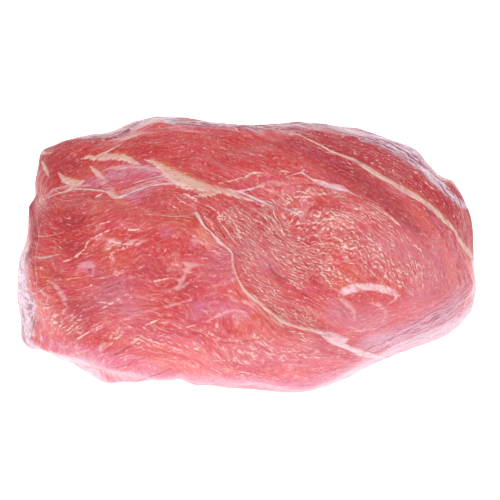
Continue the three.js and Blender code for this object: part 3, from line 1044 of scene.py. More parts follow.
@dataclass
class Roast:
    """The roast: a finer skin over the solid, carved and dressed as the photograph shows it.

    Lengths are in millimetres, and the reach of a wash or fold is a multiple of its own width. The
    ripples whose names end in along follow the fibres.
    """

    node: str = "roast"
    cuts: int = 3
    rounding: int = 5
    merge: float = 0.001
    fine_reach: float = 2.2
    strip_reach: float = 9.0
    lift_reach: float = 6.0
    wash_step: float = 4.0
    wash_reach: float = 2.2
    fold_reach: float = 3.0
    step_width: float = 0.8
    groove_width: float = 0.9
    fold_end: float = 4.0
    edge_blur: float = 0.5
    foot: tuple[float, float] = (0.3, 5.0)
    turning: tuple[float, float] = (-4.0, 10.0)
    pale_foot: tuple[float, float] = (28.0, 6.0)
    drift: tuple[Ripple, ...] = (
        Ripple(1.0, (42, 20, 20), 0.0), Ripple(0.6, (17, 8, 8), 3.1), Ripple(0.35, (7, 3.2, 3.2), 5.3),
    )
    cover_edge: Ripple = Ripple(14.0, (24, 24, 24), 1.7)
    bundles_along: tuple[Ripple, ...] = (Ripple(0.6, (17, 4.2, 7), 0.3), Ripple(0.3, (8, 2.3, 7), 5.7))
    crimps_along: Ripple = Ripple(0.45, (3.6, 2.0, 7), 9.1)
    creases_along: Ripple = Ripple(0.7, (9, 1.9, 7), 13.1)
    swellings: tuple[Ripple, ...] = (Ripple(0.8, (15, 15, 15), 3.3), Ripple(0.25, (7, 7, 7), 8.3))
    rim_steps: int = 240
    rim_falloff: int = 8

    def build(self) -> bpy.types.Object:
        """Builds the roast.

        Returns:
            The finished piece.
        """
        shape = self.blank()
        skin = self.refine(shape)
        seams = Seams(skin)
        fibres = Fibres(skin, seams)
        marks = self.marks(skin)
        rise = self.folds(skin) + self.relief(skin, fibres.places, marks) + self.lifts(skin)
        self.carve(shape, skin, rise)
        mesh = bpy.data.meshes.new("flesh")
        shape.to_mesh(mesh)
        shape.free()
        sides = {"cap_side": seams.cap, "heel_side": seams.heel, "front_side": seams.front}
        charts = {f"grain_{muscle.value}": fibres.charts[muscle] for muscle in Muscle}
        for name, values in (charts | sides | marks).items():
            self.write(mesh, name, values)
        mesh.shade_smooth()
        piece = bpy.data.objects.new("flesh", mesh)
        bpy.context.scene.collection.objects.link(piece)
        return piece

    def blank(self) -> bmesh.types.BMesh:
        """Copies the solid as one closed, finer and rounder mesh.

        Returns:
            The mesh.
        """
        shape = bmesh.new()
        shape.from_mesh(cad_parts[self.node].data)
        bmesh.ops.remove_doubles(shape, verts=shape.verts, dist=self.merge * MM)
        bmesh.ops.subdivide_edges(shape, edges=shape.edges, cuts=self.cuts, use_grid_fill=True)
        for _ in range(self.rounding):
            bmesh.ops.smooth_vert(
                shape, verts=shape.verts, factor=0.5, use_axis_x=True, use_axis_y=True, use_axis_z=True
            )
        return shape

    def refine(self, shape: bmesh.types.BMesh) -> Skin:
        """Makes the mesh finer along the strips and folds.

        Args:
            shape: The mesh.

        Returns:
            The refined surface as arrays.
        """
        skin = Skin(shape)
        close = np.zeros(len(skin.points), bool)
        for mark in (*(s for s in STROKES if s.tissue not in (Tissue.PAINTED_GLINT, Tissue.VEIL)), *FOLDS):
            line = skin.trace(mark.stops, mark.far)
            chosen = skin.near(line, self.fine_reach)
            close[chosen] |= skin.measure(line, chosen)[0] < self.fine_reach
        shape.edges.ensure_lookup_table()
        both = close[skin.edges].all(1)
        fine = [shape.edges[i] for i in np.nonzero(both)[0]]
        bmesh.ops.subdivide_edges(shape, edges=fine, cuts=1, use_grid_fill=True)
        bmesh.ops.triangulate(shape, faces=[f for f in shape.faces if len(f.verts) > 3])
        return Skin(shape)

    def strips(self, skin: Skin, tissue: Tissue) -> np.ndarray:
        """Works out where a tissue lies.

        Args:
            skin: The skin.
            tissue: The tissue.

        Returns:
            A row for each vertex about its strip, in millimetres: how far to the side of the middle line it
            lies, how far inside the edge it lies, and half the strip's width.
        """
        found = np.tile([self.strip_reach, -self.strip_reach, 0.0], (len(skin.points), 1))
        for stroke in STROKES:
            if stroke.tissue is not tissue:
                continue
            line = skin.trace(stroke.stops, stroke.far)
            chosen = skin.near(line, self.strip_reach)
            distance, side, extra = skin.measure(line, chosen)
            half = extra[:, 0] / 2
            rows = np.stack([side * distance, half - distance, half], axis=1)
            better = rows[:, 1] > found[chosen, 1]
            found[chosen[better]] = rows[better]
        return found

    def tone(self, skin: Skin, tone: Tone) -> np.ndarray:
        """Works out how strong a tone is.

        Args:
            skin: The skin.
            tone: The tone.

        Returns:
            A number from 0 to 1 for each vertex.
        """
        total = np.zeros(len(skin.points))
        for wash in WASHES:
            if wash.tone is not tone:
                continue
            line = skin.trace(wash.stops, wash.far, self.wash_step)
            chosen = skin.near(line, self.wash_reach * max(stop[2] for stop in wash.stops))
            distance, _, extra = skin.measure(line, chosen)
            strength = wash.strength * np.exp(-((distance / extra[:, 0]) ** 2))
            total[chosen] = np.maximum(total[chosen], strength)
        return total

    def hide(self, skin: Skin) -> np.ndarray:
        """Works out where silverskin covers the side that faces away from the eye.

        Args:
            skin: The skin.

        Returns:
            A number from 0 to 1 for each vertex.
        """
        offset = skin.pixels - np.array(EYE.aim_pixel)
        angle = np.degrees(np.arctan2(-offset[:, 1], offset[:, 0]))
        edge = np.interp(angle, *np.array(SKIN_EDGE).T) + self.cover_edge.at(skin.points)
        patches = ease(layered(self.drift, skin.points, 4.1), -0.45, 0.35)
        return ease(edge - skin.depth, *self.turning) * patches

    def behind(self, skin: Skin, tone: Tone) -> np.ndarray:
        """Works out how strong a tone is on the side that faces away from the eye.

        Args:
            skin: The skin.
            tone: The tone.

        Returns:
            A number from 0 to 1 for each vertex.
        """
        hidden = ease(-skin.depth, *self.turning)
        if tone is Tone.PALE:
            return 0.8 * hidden * ease(skin.points[:, 2], *self.pale_foot)
        share = {Tone.RED: 0.8, Tone.DARK: 0.6, Tone.ORANGE: 0.6, Tone.LILAC: 0.6, Tone.CRIMP: 0.8}
        seed = 21.0 + 1.7 * list(Tone).index(tone)
        return share.get(tone, 0) * hidden * ease(layered(self.drift, skin.points, seed), 0, 0.6)

    def marks(self, skin: Skin) -> dict[str, np.ndarray]:
        """Works out where the tissues and tones lie.

        Args:
            skin: The skin.

        Returns:
            What the material reads at every vertex, by name.
        """
        found = {tissue.value: self.strips(skin, tissue) for tissue in Tissue}
        for tone in Tone:
            found[tone.value] = np.maximum(self.tone(skin, tone), self.behind(skin, tone))
        cover = self.hide(skin)
        found[Tone.SHEATH.value] = cover
        found[Tone.CREASED.value] = np.maximum(found[Tone.CREASED.value], 0.4 * cover)
        return found

    def folds(self, skin: Skin) -> np.ndarray:
        """Works out the steps and grooves at the seams.

        Args:
            skin: The skin.

        Returns:
            How far each vertex rises.
        """
        rise = np.zeros(len(skin.points))
        for fold in FOLDS:
            line = skin.trace(fold.stops, fold.far)
            chosen = skin.near(line, self.fold_reach * fold.width)
            distance, side, extra = skin.measure(line, chosen)
            ends = [np.linalg.norm(skin.points[chosen] - line[end, :3], axis=1) for end in (0, -1)]
            beside = side * distance - fold.shift
            step = extra[:, 0] / 2 * np.tanh(beside / self.step_width) * np.exp(-distance / fold.width)
            groove = fold.groove * np.exp(-((beside / self.groove_width) ** 2))
            rise[chosen] += (step - groove) * ease(np.minimum(*ends), 0, self.fold_end)
        return rise

    def relief(self, skin: Skin, places: np.ndarray, marks: dict[str, np.ndarray]) -> np.ndarray:
        """Works out the bundles of fibres, the crimps and creases, and the broad swellings.

        Args:
            skin: The skin.
            places: Places along and across the fibres.
            marks: Where the tissues and tones lie.

        Returns:
            How far each vertex rises.
        """
        tones = {tone: marks[tone.value] for tone in Tone}
        still = 0.7 * (tones[Tone.PALE] + tones[Tone.DARK]) + 0.8 * tones[Tone.EVEN]
        inside = np.maximum(marks[Tissue.FAT.value][:, 1], marks[Tissue.SINEW.value][:, 1])
        bundles = layered(self.bundles_along, places) * (1 - np.clip(still, 0, 0.9))
        crimps = self.crimps_along.at(places) * tones[Tone.CRIMP]
        creases = self.creases_along.at(places) * tones[Tone.CREASED]
        fibrous = (bundles + crimps + creases) * (1 - 0.8 * ease(inside, -0.4, 0.4))
        return fibrous + layered(self.swellings, skin.points)

    def lifts(self, skin: Skin) -> np.ndarray:
        """Works out how far the strips stand up from the flesh.

        Args:
            skin: The skin.

        Returns:
            How far each vertex rises.
        """
        rise = np.zeros(len(skin.points))
        for stroke in STROKES:
            line = skin.trace(stroke.stops, stroke.far)
            chosen = skin.near(line, self.lift_reach)
            distance, _, extra = skin.measure(line, chosen)
            rise[chosen] += stroke.lift * ease(extra[:, 0] / 2 - distance, -self.edge_blur, self.edge_blur)
        return rise

    def carve(self, shape: bmesh.types.BMesh, skin: Skin, rise: np.ndarray) -> None:
        """Moves the vertices to the relief of the flesh. It fades out towards the board.

        Args:
            shape: The mesh.
            skin: The same mesh as arrays.
            rise: How far each vertex rises.
        """
        rise = rise * ease(skin.points[:, 2], *self.foot)
        moved = self.trim(skin.points + rise[:, None] * skin.normals)
        moved[:, 2] = np.maximum(moved[:, 2], 0)
        for vert, place in zip(shape.verts, (moved * MM).tolist()):
            vert.co = place

    def trim(self, points: np.ndarray) -> np.ndarray:
        """Pulls the rim, as the eye sees it, to the outline in the photograph.

        Args:
            points: The places of the vertices.

        Returns:
            Their new places.
        """
        middle, steps = np.array(EYE.aim_pixel), self.rim_steps
        slots = np.arange(steps) + 0.5
        offset = EYE.draw(points)[0] - middle
        turn, radius = self.polar(offset, steps)
        reached = np.zeros(steps)
        np.maximum.at(reached, turn.astype(int) % steps, radius)
        angles, reaches = self.polar(through((*RIM, RIM[0]), 1.0) - middle, steps)
        order = np.argsort(angles)
        goal = np.interp(slots, angles[order], reaches[order], period=steps)
        spread = np.interp(turn, slots, goal - reached, period=steps)
        share = (radius / np.interp(turn, slots, reached, period=steps)) ** self.rim_falloff
        push = (spread * share / np.maximum(radius, 1))[:, None] * offset * EYE.millimetres_per_pixel
        return points + push[:, :1] * EYE.right - push[:, 1:] * EYE.up

    @staticmethod
    def polar(offset: np.ndarray, steps: int) -> tuple[np.ndarray, np.ndarray]:
        """Turns offsets in the picture into an angle and a distance.

        Args:
            offset: The offsets, one in each row.
            steps: How many steps make a full turn.

        Returns:
            The angle of each in steps, and its distance in pixels.
        """
        x, y = offset.T
        return (np.arctan2(y, x) / (2 * math.pi) % 1) * steps, np.hypot(x, y)

    @staticmethod
    def write(mesh: bpy.types.Mesh, name: str, values: np.ndarray) -> None:
        """Keeps a value at every vertex, as an attribute that the material reads.

        Args:
            mesh: The mesh.
            name: The attribute's name.
            values: One number or three for each vertex.
        """
        kind, key = ("FLOAT", "value") if values.ndim == 1 else ("FLOAT_VECTOR", "vector")
        mesh.attributes.new(name, kind, "POINT").data.foreach_set(key, values.astype(np.float32).ravel())


def linear(red: float, green: float, blue: float) -> tuple[float, float, float, float]:
    """Turns a colour as seen on a screen, from 0 to 255, into light."""
    parts = (c / 255 for c in (red, green, blue))
    return (*((c / 12.92 if c <= 0.04045 else ((c + 0.055) / 1.055) ** 2.4) for c in parts), 1.0)


class Term:
    """A value in a material. Arithmetic on it adds the nodes that do the sum."""

    def __init__(self, recipe: "Recipe", socket: bpy.types.NodeSocket) -> None:
        """Wraps a socket of a material."""
        self.recipe, self.socket = recipe, socket

    def math(self, operation: str, *values: "Term | float") -> "Term":
        """Adds a Math node.

        Args:
            operation: The node's operation.
            values: Its inputs.

        Returns:
            The result.
        """
        node = self.recipe.node("ShaderNodeMath", {"operation": operation}, dict(enumerate(values)))
        return Term(self.recipe, node.outputs[0])

    def __add__(self, other: "Term | float") -> "Term":
        """Adds."""
        return self.math("ADD", self, other)

    def __radd__(self, other: float) -> "Term":
        """Adds, from the left."""
        return self.math("ADD", other, self)

    def __sub__(self, other: "Term | float") -> "Term":
        """Takes away."""
        return self.math("SUBTRACT", self, other)

    def __rsub__(self, other: float) -> "Term":
        """Takes this from a number."""
        return self.math("SUBTRACT", other, self)

    def __mul__(self, other: "Term | float") -> "Term":
        """Multiplies."""
        return self.math("MULTIPLY", self, other)

    def __rmul__(self, other: float) -> "Term":
        """Multiplies, from the left."""
        return self.math("MULTIPLY", other, self)

    def most(self, other: "Term | float") -> "Term":
        """Takes the greater of the two."""
        return self.math("MAXIMUM", self, other)

    def size(self) -> "Term":
        """Drops the sign."""
        return self.math("ABSOLUTE", self)

    def above(self, level: float) -> "Term":
        """Gives 1 above the level and 0 below it."""
        return self.math("GREATER_THAN", self, level)

    def rise(self, low: "Term | float", high: "Term | float") -> "Term":
        """Rises smoothly.

        Args:
            low: Where it leaves 0.
            high: Where it reaches 1.

        Returns:
            The result.
        """
        inputs = {0: self, 1: low, 2: high, 3: 0.0, 4: 1.0}
        node = self.recipe.node("ShaderNodeMapRange", {"interpolation_type": "SMOOTHSTEP"}, inputs)
        return Term(self.recipe, node.outputs[0])

    def fall(self, low: float, high: float) -> "Term":
        """Falls smoothly from 1 at low to 0 at high."""
        return 1 - self.rise(low, high)

    def line(self, level: float, core: float, edge: float) -> "Term":
        """Draws a line where this crosses a level: 1 within the core and 0 past the edge."""
        return (self - level).size().fall(core, edge)


class Recipe:
    """A material in the making."""

    def __init__(self, name: str) -> None:
        """Starts an empty material.

        Args:
            name: Its name.
        """
        self.material = bpy.data.materials.new(name)
        self.material.use_nodes = True
        self.tree = self.material.node_tree
        self.tree.nodes.clear()

    def node(self, kind: str, settings: dict | None = None, inputs: dict | None = None) -> bpy.types.Node:
        """Adds a node.

        Args:
            kind: The node's type.
            settings: Its settings, which are set first.
            inputs: Values or links for its sockets, by name or number.

        Returns:
            The node.
        """
        node = self.tree.nodes.new(kind)
        for key, value in (settings or {}).items():
            setattr(node, key, value)
        for key, value in (inputs or {}).items():
            socket = node.inputs[key]
            if isinstance(value, Term):
                value = value.socket
            if isinstance(value, bpy.types.NodeSocket):
                self.tree.links.new(value, socket)
            else:
                socket.default_value = value
        return node

    def surface(self, inputs: dict) -> bpy.types.Material:
        """Finishes the material.

        Args:
            inputs: Values or links for its shader's sockets, by name.

        Returns:
            The material.
        """
        shader = self.node("ShaderNodeBsdfPrincipled", {}, inputs)
        self.node("ShaderNodeOutputMaterial", {"is_active_output": True}, {"Surface": shader.outputs[0]})
        return self.material

    def value(self, name: str) -> Term:
        """Reads a number that is kept at every vertex."""
        return Term(self, self.node("ShaderNodeAttribute", {"attribute_name": name}).outputs["Fac"])

    def place(self, name: str) -> bpy.types.NodeSocket:
        """Reads a place that is kept at every vertex."""
        return self.node("ShaderNodeAttribute", {"attribute_name": name}).outputs["Vector"]

    def parts(self, name: str) -> list[Term]:
        """Reads three numbers that are kept at every vertex."""
        split = self.node("ShaderNodeSeparateXYZ", {}, {0: self.place(name)})
        return [Term(self, socket) for socket in split.outputs]

    def blend(
        self, factor: "Term | float", low: object, high: object, kind: str = "RGBA"
    ) -> bpy.types.NodeSocket:
        """Mixes two colours or two places.

        Args:
            factor: 0 gives the first, 1 the second.
            low: The first.
            high: The second.
            kind: RGBA for colours, VECTOR for places.

        Returns:
            The mix.
        """
        first, second, out = (6, 7, 2) if kind == "RGBA" else (4, 5, 1)
        node = self.node("ShaderNodeMix", {"data_type": kind}, {0: factor, first: low, second: high})
        return node.outputs[out]

    def scaled(self, where: object, scale: Sequence[float], shift: object) -> bpy.types.NodeSocket:
        """Scales places and shifts them.

        Args:
            where: The places.
            scale: How much along each axis.
            shift: The shift, three numbers or places.

        Returns:
            The new places.
        """
        inputs = {0: where, 1: tuple(scale), 2: shift}
        return self.node("ShaderNodeVectorMath", {"operation": "MULTIPLY_ADD"}, inputs).outputs[0]

    def grain(
        self, where: bpy.types.NodeSocket, sizes: Sequence[float], detail: float, seed: float,
        roughness: float = 0.55, shift: float = 0.0,
    ) -> Term:
        """Adds noise whose features have given sizes.

        Args:
            where: The places it is read at.
            sizes: How long its features are along each axis.
            detail: How many finer layers it has.
            seed: Shifts it to another part of the noise.
            roughness: How strong the finer layers are.
            shift: How far across the fibres it is moved.

        Returns:
            The noise, from 0 to 1.
        """
        places = self.scaled(where, [1 / s for s in sizes], (seed, seed + shift / sizes[1], seed))
        inputs = {"Vector": places, "Scale": 1.0, "Detail": detail, "Roughness": roughness}
        return Term(self, self.node("ShaderNodeTexNoise", {}, inputs).outputs[0])

    def net(self, where: bpy.types.NodeSocket, sizes: Sequence[float], shift: float = 0.0) -> Term:
        """Adds a net of fine lines.

        Args:
            where: The places it is read at.
            sizes: How long and how wide its meshes are.
            shift: How far across the fibres it is moved.

        Returns:
            How far from the nearest line each place is, as a share of a mesh.
        """
        settings = {"voronoi_dimensions": "2D", "feature": "DISTANCE_TO_EDGE"}
        places = self.scaled(where, (1 / sizes[0], 1 / sizes[1], 0.0), (0.0, shift / sizes[1], 0.0))
        made = self.node("ShaderNodeTexVoronoi", settings, {"Vector": places, "Scale": 1.0})
        return Term(self, made.outputs["Distance"])

    def sway(
        self, where: bpy.types.NodeSocket, sizes: Sequence[float], reach: Sequence[float]
    ) -> bpy.types.NodeSocket:
        """Shifts places to and fro, which bends whatever is drawn at them.

        Args:
            where: The places.
            sizes: How long the bends are along each axis.
            reach: How far the places shift along each axis.

        Returns:
            The shifted places.
        """
        places = self.scaled(where, [1 / s for s in sizes], (0.0, 0.0, 0.0))
        bends = self.node("ShaderNodeTexNoise", {}, {"Vector": places, "Scale": 1.0, "Detail": 1.0})
        return self.scaled(bends.outputs[1], reach, where)


class Paint:
    """The colour of a material, laid on tint by tint."""

    def __init__(self, recipe: Recipe, colour: bpy.types.NodeSocket) -> None:
        """Starts with a first colour."""
        self.recipe, self.colour = recipe, colour

    def lay(self, share: Term, tint: "Colour | bpy.types.NodeSocket") -> None:
        """Lays a tint over the colour.

        Args:
            share: How much of the tint covers, from 0 to 1.
            tint: The tint, as seen on a screen or as light.
        """
        over = linear(*tint) if isinstance(tint, tuple) else tint
        self.colour = self.recipe.blend(share, self.colour, over)


class Pattern:
    """What lies where on the flesh: noises along and across the fibres, and masks made from them."""

    def __init__(self, r: Recipe) -> None:
        """Reads the attributes, and adds the noises and masks.

        Args:
            r: The material.
        """
        straight = r.place("grain_body")
        for muscle in (Muscle.CAP, Muscle.HEEL, Muscle.FRONT):
            inside = r.value(f"{muscle.value}_side").above(0.0)
            straight = r.blend(inside, straight, r.place(f"grain_{muscle.value}"), "VECTOR")
        where = r.sway(straight, (8, 4, 7), (1.6, 2.2, 0.0))
        crimped = r.sway(where, (2.2, 1.6, 3), (0.8, 0.9, 0.0))
        self.cap = r.value("cap_side")
        self.tones = {tone: r.value(tone.value) for tone in Tone}

        self.streaks = r.grain(where, (12, 1.4, 5), 3, seed=2)
        self.clouds = r.grain(where, (22, 8, 9), 3, seed=31)
        self.mottle = r.grain(where, (9, 5, 9), 2, seed=91)
        self.ridges = r.grain(where, (14, 2.2, 5), 2, seed=81)
        self.threads = r.grain(where, (10, 1.5, 5), 3, seed=71, roughness=0.65)
        self.ragged = r.grain(where, (3.6, 1.0, 3), 3, seed=51, roughness=0.7)
        self.fine = r.grain(where, (1.7, 0.52, 3), 1, seed=141, roughness=0.7)
        self.glint_dots = r.grain(where, (2.4, 1.5, 3), 0, seed=131)
        self.strands = r.grain(where, (10, 0.8, 5), 1, seed=151)
        self.lines = r.grain(crimped, (3.0, 0.7, 5), 1, seed=11)
        self.beads = r.grain(crimped, (1.4, 0.7, 3), 0, seed=61)
        self.veins = r.grain(crimped, (15, 2.6, 5), 3, seed=171, roughness=0.62)
        wrinkle = {"where": crimped, "sizes": (2.3, 0.95, 3), "detail": 1, "seed": 121}
        self.wrinkles = r.grain(**wrinkle)
        # The slope of the wrinkles across the fibres, which sets where they get painted light and where
        # painted shade.
        self.painted_shading_slope = r.grain(**wrinkle, shift=-0.4) - self.wrinkles
        self.frayed = self.ragged * 0.6 + self.beads * 0.4

        tones = self.tones
        stray, cloudy = self.ragged - 0.5, self.clouds - 0.5
        self.calm = 1 - 0.6 * tones[Tone.DARK].most(tones[Tone.PALE])
        self.uneven = 1 - 0.85 * tones[Tone.EVEN]
        self.lilac = (tones[Tone.LILAC] + stray * 1.4).rise(0.2, 0.8)
        self.film = (tones[Tone.SKIN] + stray * 0.9 + cloudy * 0.7).rise(0.3, 0.7)
        self.bare = 1 - self.film
        self.sheath = (tones[Tone.SHEATH] + stray * 0.7 + cloudy * 0.9).rise(0.2, 0.9) * self.bare
        self.milky = (tones[Tone.MILKY] + stray * 0.7).rise(0.2, 0.8)
        self.capped = self.cap.rise(-0.5, 0.5) * self.bare
        bands = r.grain(where, (9, 2.8, 5), 1, seed=101)
        stirred = (tones[Tone.CRIMP] * 1.1 + (bands - 0.5) * 3.0).rise(0.2, 0.9)
        crimp = 0.2 + 0.8 * tones[Tone.CRIMP].rise(0.0, 0.5)
        self.busy = stirred * crimp * self.calm * self.bare * (1 - 0.7 * self.sheath)
        smooth = (1 - 0.6 * tones[Tone.CRIMP]) * (1 - 0.7 * tones[Tone.RED]) * (1 - 0.6 * self.sheath)
        self.plain = self.calm * self.uneven * self.bare * smooth
        # Hollows beside the crests, for painted shade, and the crests of the crimps, for painted
        # highlights.
        self.painted_hollow_shade = r.net(crimped, (4.2, 1.1), 0.4).fall(0.05, 0.3)
        self.crests = r.net(crimped, (4.2, 1.1)).fall(0.06, 0.24) * self.painted_shading_slope.rise(-0.03, 0.12)


@dataclass(frozen=True)
class Flesh:
    """The finish of the roast: moist red muscle with fibres, seams of fat, sinew and silverskin, with
    highlights and shade painted into its colour.
    """

    deep: Colour = (206, 62, 72)
    ruddy: Colour = (226, 90, 92)
    # A pale pink that is laid as painted light on the fibres and crimped stretches.
    light: Colour = (240, 158, 152)
    red: Colour = (206, 50, 52)
    cap: Colour = (192, 40, 56)
    dusk: Colour = (164, 44, 58)
    rose: Colour = (212, 160, 186)
    lilac: Colour = (222, 116, 152)
    milky: Colour = (222, 196, 214)
    film: Colour = (186, 128, 150)
    sheath: Colour = (214, 150, 166)
    silver: Colour = (240, 216, 232)
    plum: Colour = (124, 60, 90)
    amber: Colour = (222, 108, 74)
    cream: Colour = (234, 190, 174)
    pearl: Colour = (252, 212, 204)
    sinew: Colour = (246, 210, 216)
    veil: Colour = (240, 176, 178)
    # Painted highlights.
    glint: Colour = (255, 214, 206)
    # Painted shade in the hollows of the fibres and wrinkles.
    painted_shade: Colour = (186, 44, 56)
    # Painted shade in creases, and the colour of a blood dot.
    crease: Colour = (150, 40, 54)

    def muscle(self, paint: Paint, p: Pattern) -> None:
        """Lays the broad colours of the muscle, with painted light and shade along the streaks of its
        fibres.

        Args:
            paint: The colour so far.
            p: What lies where.
        """
        paint.lay(p.mottle.rise(0.5, 0.75) * 0.35, self.amber)
        paint.lay(p.mottle.fall(0.25, 0.48) * 0.3, self.lilac)
        paint.lay(p.tones[Tone.RED] * 0.85, self.red)
        paint.lay(p.cap.rise(-0.3, 0.3) * 0.85, self.cap)
        paint.lay(p.tones[Tone.DARK] * 0.85, self.dusk)
        paint.lay(p.tones[Tone.ORANGE] * 0.7, self.amber)
        paint.lay(p.tones[Tone.PALE] * (0.7 + 0.3 * p.streaks), self.rose)
        # Painted light on the high parts of the fibre streaks and painted shade in their low parts.
        paint.lay(p.streaks.rise(0.5, 0.75) * 0.25 * p.calm * p.uneven, self.light)
        paint.lay(p.streaks.fall(0.28, 0.45) * 0.35 * p.calm * p.uneven, self.painted_shade)
        paint.lay(p.lilac * 0.6, self.lilac)

    def films(self, paint: Paint, p: Pattern) -> None:
        """Lays the silverskin with its veins, the thinner sheath, the milky rim, and painted shade in the
        creases of the creased stretches.

        Args:
            paint: The colour so far.
            p: What lies where.
        """
        paint.lay(p.film * 0.8, self.film)
        paint.lay(p.threads.fall(0.34, 0.48) * p.film * 0.8, self.plum)
        paint.lay(p.threads.rise(0.54, 0.64) * p.film * 0.7, self.silver)
        paint.lay(p.veins.line(0.44, 0.01, 0.05) * p.film * 0.6, self.plum)
        paint.lay(p.veins.line(0.52, 0.012, 0.05) * p.film * 0.85, self.silver)
        paint.lay(p.sheath * 0.62, self.sheath)
        paint.lay(p.threads.fall(0.32, 0.5) * p.sheath * 0.35, self.plum)
        paint.lay(p.threads.rise(0.5, 0.7) * p.sheath * 0.55, self.silver)
        paint.lay(p.milky * 0.85, self.milky)
        # Painted shade: dark lines in the creases of the creased stretches.
        paint.lay(p.ridges.line(0.46, 0.015, 0.06) * p.tones[Tone.CREASED] * 0.6, self.crease)

    def fibres(self, paint: Paint, p: Pattern) -> None:
        """Lays the fibres with painted light and shade: fine lines, the crimped stretches with painted
        shade in their hollows and painted highlights on their crests, and painted glints along strands and
        in specks.

        Args:
            paint: The colour so far.
            p: What lies where.
        """
        # Painted shade in the low parts of the fine relief and painted light on its high parts.
        paint.lay(p.fine.fall(0.34, 0.46) * 0.3, self.painted_shade)
        paint.lay(p.fine.rise(0.56, 0.64) * 0.26, self.light)
        # Painted shade: darker fine lines and strands on the cap.
        paint.lay(p.fine.fall(0.38, 0.48) * p.capped * 0.5, self.crease)
        paint.lay(p.strands.fall(0.36, 0.44) * p.capped * 0.35, self.crease)
        # Painted light: the crimped stretches are laid lighter all over.
        paint.lay(p.busy * 0.32, self.light)
        # Painted light and shade: each wrinkle is darker on one side and lighter on the other.
        paint.lay((0 - p.painted_shading_slope).rise(0.02, 0.16) * (p.busy * 0.45), self.painted_shade)
        paint.lay(p.painted_shading_slope.rise(0.02, 0.16) * (p.busy * 0.36), self.light)
        # Painted shade in the hollows beside the crests.
        paint.lay(p.painted_hollow_shade * p.busy * 0.3, self.painted_shade)
        # Painted highlights on the crests of the crimps.
        paint.lay(p.crests * p.busy * 0.92, self.glint)
        # Painted shade between the strands, on the plainer flesh.
        paint.lay(p.strands.fall(0.3, 0.4) * p.plain * 0.3, self.painted_shade)
        # Painted glints, beaded along the strands.
        beaded_glints = p.strands.rise(0.57, 0.66) * (0.35 + 0.65 * p.beads.rise(0.42, 0.58))
        paint.lay(beaded_glints * p.plain * 0.32, self.glint)
        # Painted glints on short fine lines.
        glint_strings = p.lines.rise(0.56, 0.62) * p.beads.rise(0.48, 0.58)
        paint.lay(glint_strings * (0.2 + 0.2 * p.busy) * p.bare, self.glint)
        # Painted glints as scattered specks, with extra dots on and near the cap.
        glint_dots = p.glint_dots.rise(0.72, 0.77) * p.cap.rise(-9.0, 1.0)
        glint_speck = (p.lines * 0.3 + p.beads * 0.7).rise(0.69, 0.74).most(glint_dots) * p.bare
        paint.lay(glint_speck * (0.5 + 0.15 * p.capped), self.glint)

    @staticmethod
    def strip(
        r: Recipe, tissue: Tissue, ragged: Term, roughness: "Term | float", soft: float = 0.14
    ) -> Term:
        """Draws the strips of a tissue.

        Args:
            r: The material.
            tissue: The tissue.
            ragged: Noise that breaks up the edges.
            roughness: How far it does so, as a share of the strip's width.
            soft: How far the edges blur, in millimetres.

        Returns:
            1 on the strips and 0 elsewhere.
        """
        side, inside, half = r.parts(tissue.value)
        edge = half - side.size() + (ragged - 0.5) * half * roughness
        blur = half * 0.3 + soft
        return edge.rise(0 - blur, blur) * inside.above(-0.9)

    def strips(self, r: Recipe, paint: Paint, p: Pattern) -> tuple[Term, Term, Term]:
        """Lays the painted shade in the creases with a blood dot, the fat with painted light and shade
        across it, veils, sinew and painted glints.

        Args:
            r: The material.
            paint: The colour so far.
            p: What lies where.

        Returns:
            Where the fat, the sinew and the creases lie.
        """
        # Painted shade in the creases; the widest stroke, a blood dot, is laid darkest.
        crease = self.strip(r, Tissue.CREASE, p.frayed, 2.0, 0.25)
        depth = 0.35 + 0.65 * r.parts(Tissue.CREASE.value)[2].rise(0.76, 0.88)
        paint.lay(crease * depth, self.crease)
        side, inside, half = r.parts(Tissue.FAT.value)
        halo = inside.rise(-2.5, 0.0) * side.rise(-1.0, 2.0) * half.rise(0.6, 1.6)
        paint.lay(halo * 0.75, self.amber)
        # Painted shade: a thin dark line round the edge of the wider fat near the cap seam.
        from_cap = p.cap.size()
        outline = inside.rise(-0.8, -0.1) * half.rise(0.4, 0.9) * from_cap.fall(2.0, 4.0)
        paint.lay(outline * 0.5, self.crease)
        # Painted light and shade across the fat: paler pearl towards one side and darker cream towards the
        # other.
        tint = r.blend((side + half * 0.4).rise(-0.6, 0.9), linear(*self.pearl), linear(*self.cream))
        fat = self.strip(r, Tissue.FAT, p.frayed, 1.0 + 1.3 * from_cap.rise(3.0, 6.0), 0.2)
        paint.lay(fat * (0.5 + 0.45 * (p.ragged * 0.6 + p.mottle * 0.4).rise(0.38, 0.56)), tint)
        veil = self.strip(r, Tissue.VEIL, p.frayed, 2.4, 0.5) * p.ragged.rise(0.32, 0.56)
        paint.lay(veil * 0.75, self.veil)
        sinew = self.strip(r, Tissue.SINEW, p.ragged, 0.45, 0.2)
        paint.lay(sinew * (0.3 + 0.62 * p.ragged.rise(0.34, 0.58)), self.sinew)
        # Painted highlights: the glint strokes.
        glint = self.strip(r, Tissue.PAINTED_GLINT, p.frayed, 2.4, 0.1) * p.beads.rise(0.35, 0.5)
        paint.lay(glint * 0.8, self.glint)
        return fat, sinew, crease

    def make(self) -> bpy.types.Material:
        """Makes the material.

        Returns:
            The material.
        """
        r = Recipe("veal")
        p = Pattern(r)
        paint = Paint(r, r.blend(p.clouds.rise(0.3, 0.7), linear(*self.deep), linear(*self.ruddy)))
        self.muscle(paint, p)
        self.films(paint, p)
        self.fibres(paint, p)
        fat, sinew, crease = self.strips(r, paint, p)

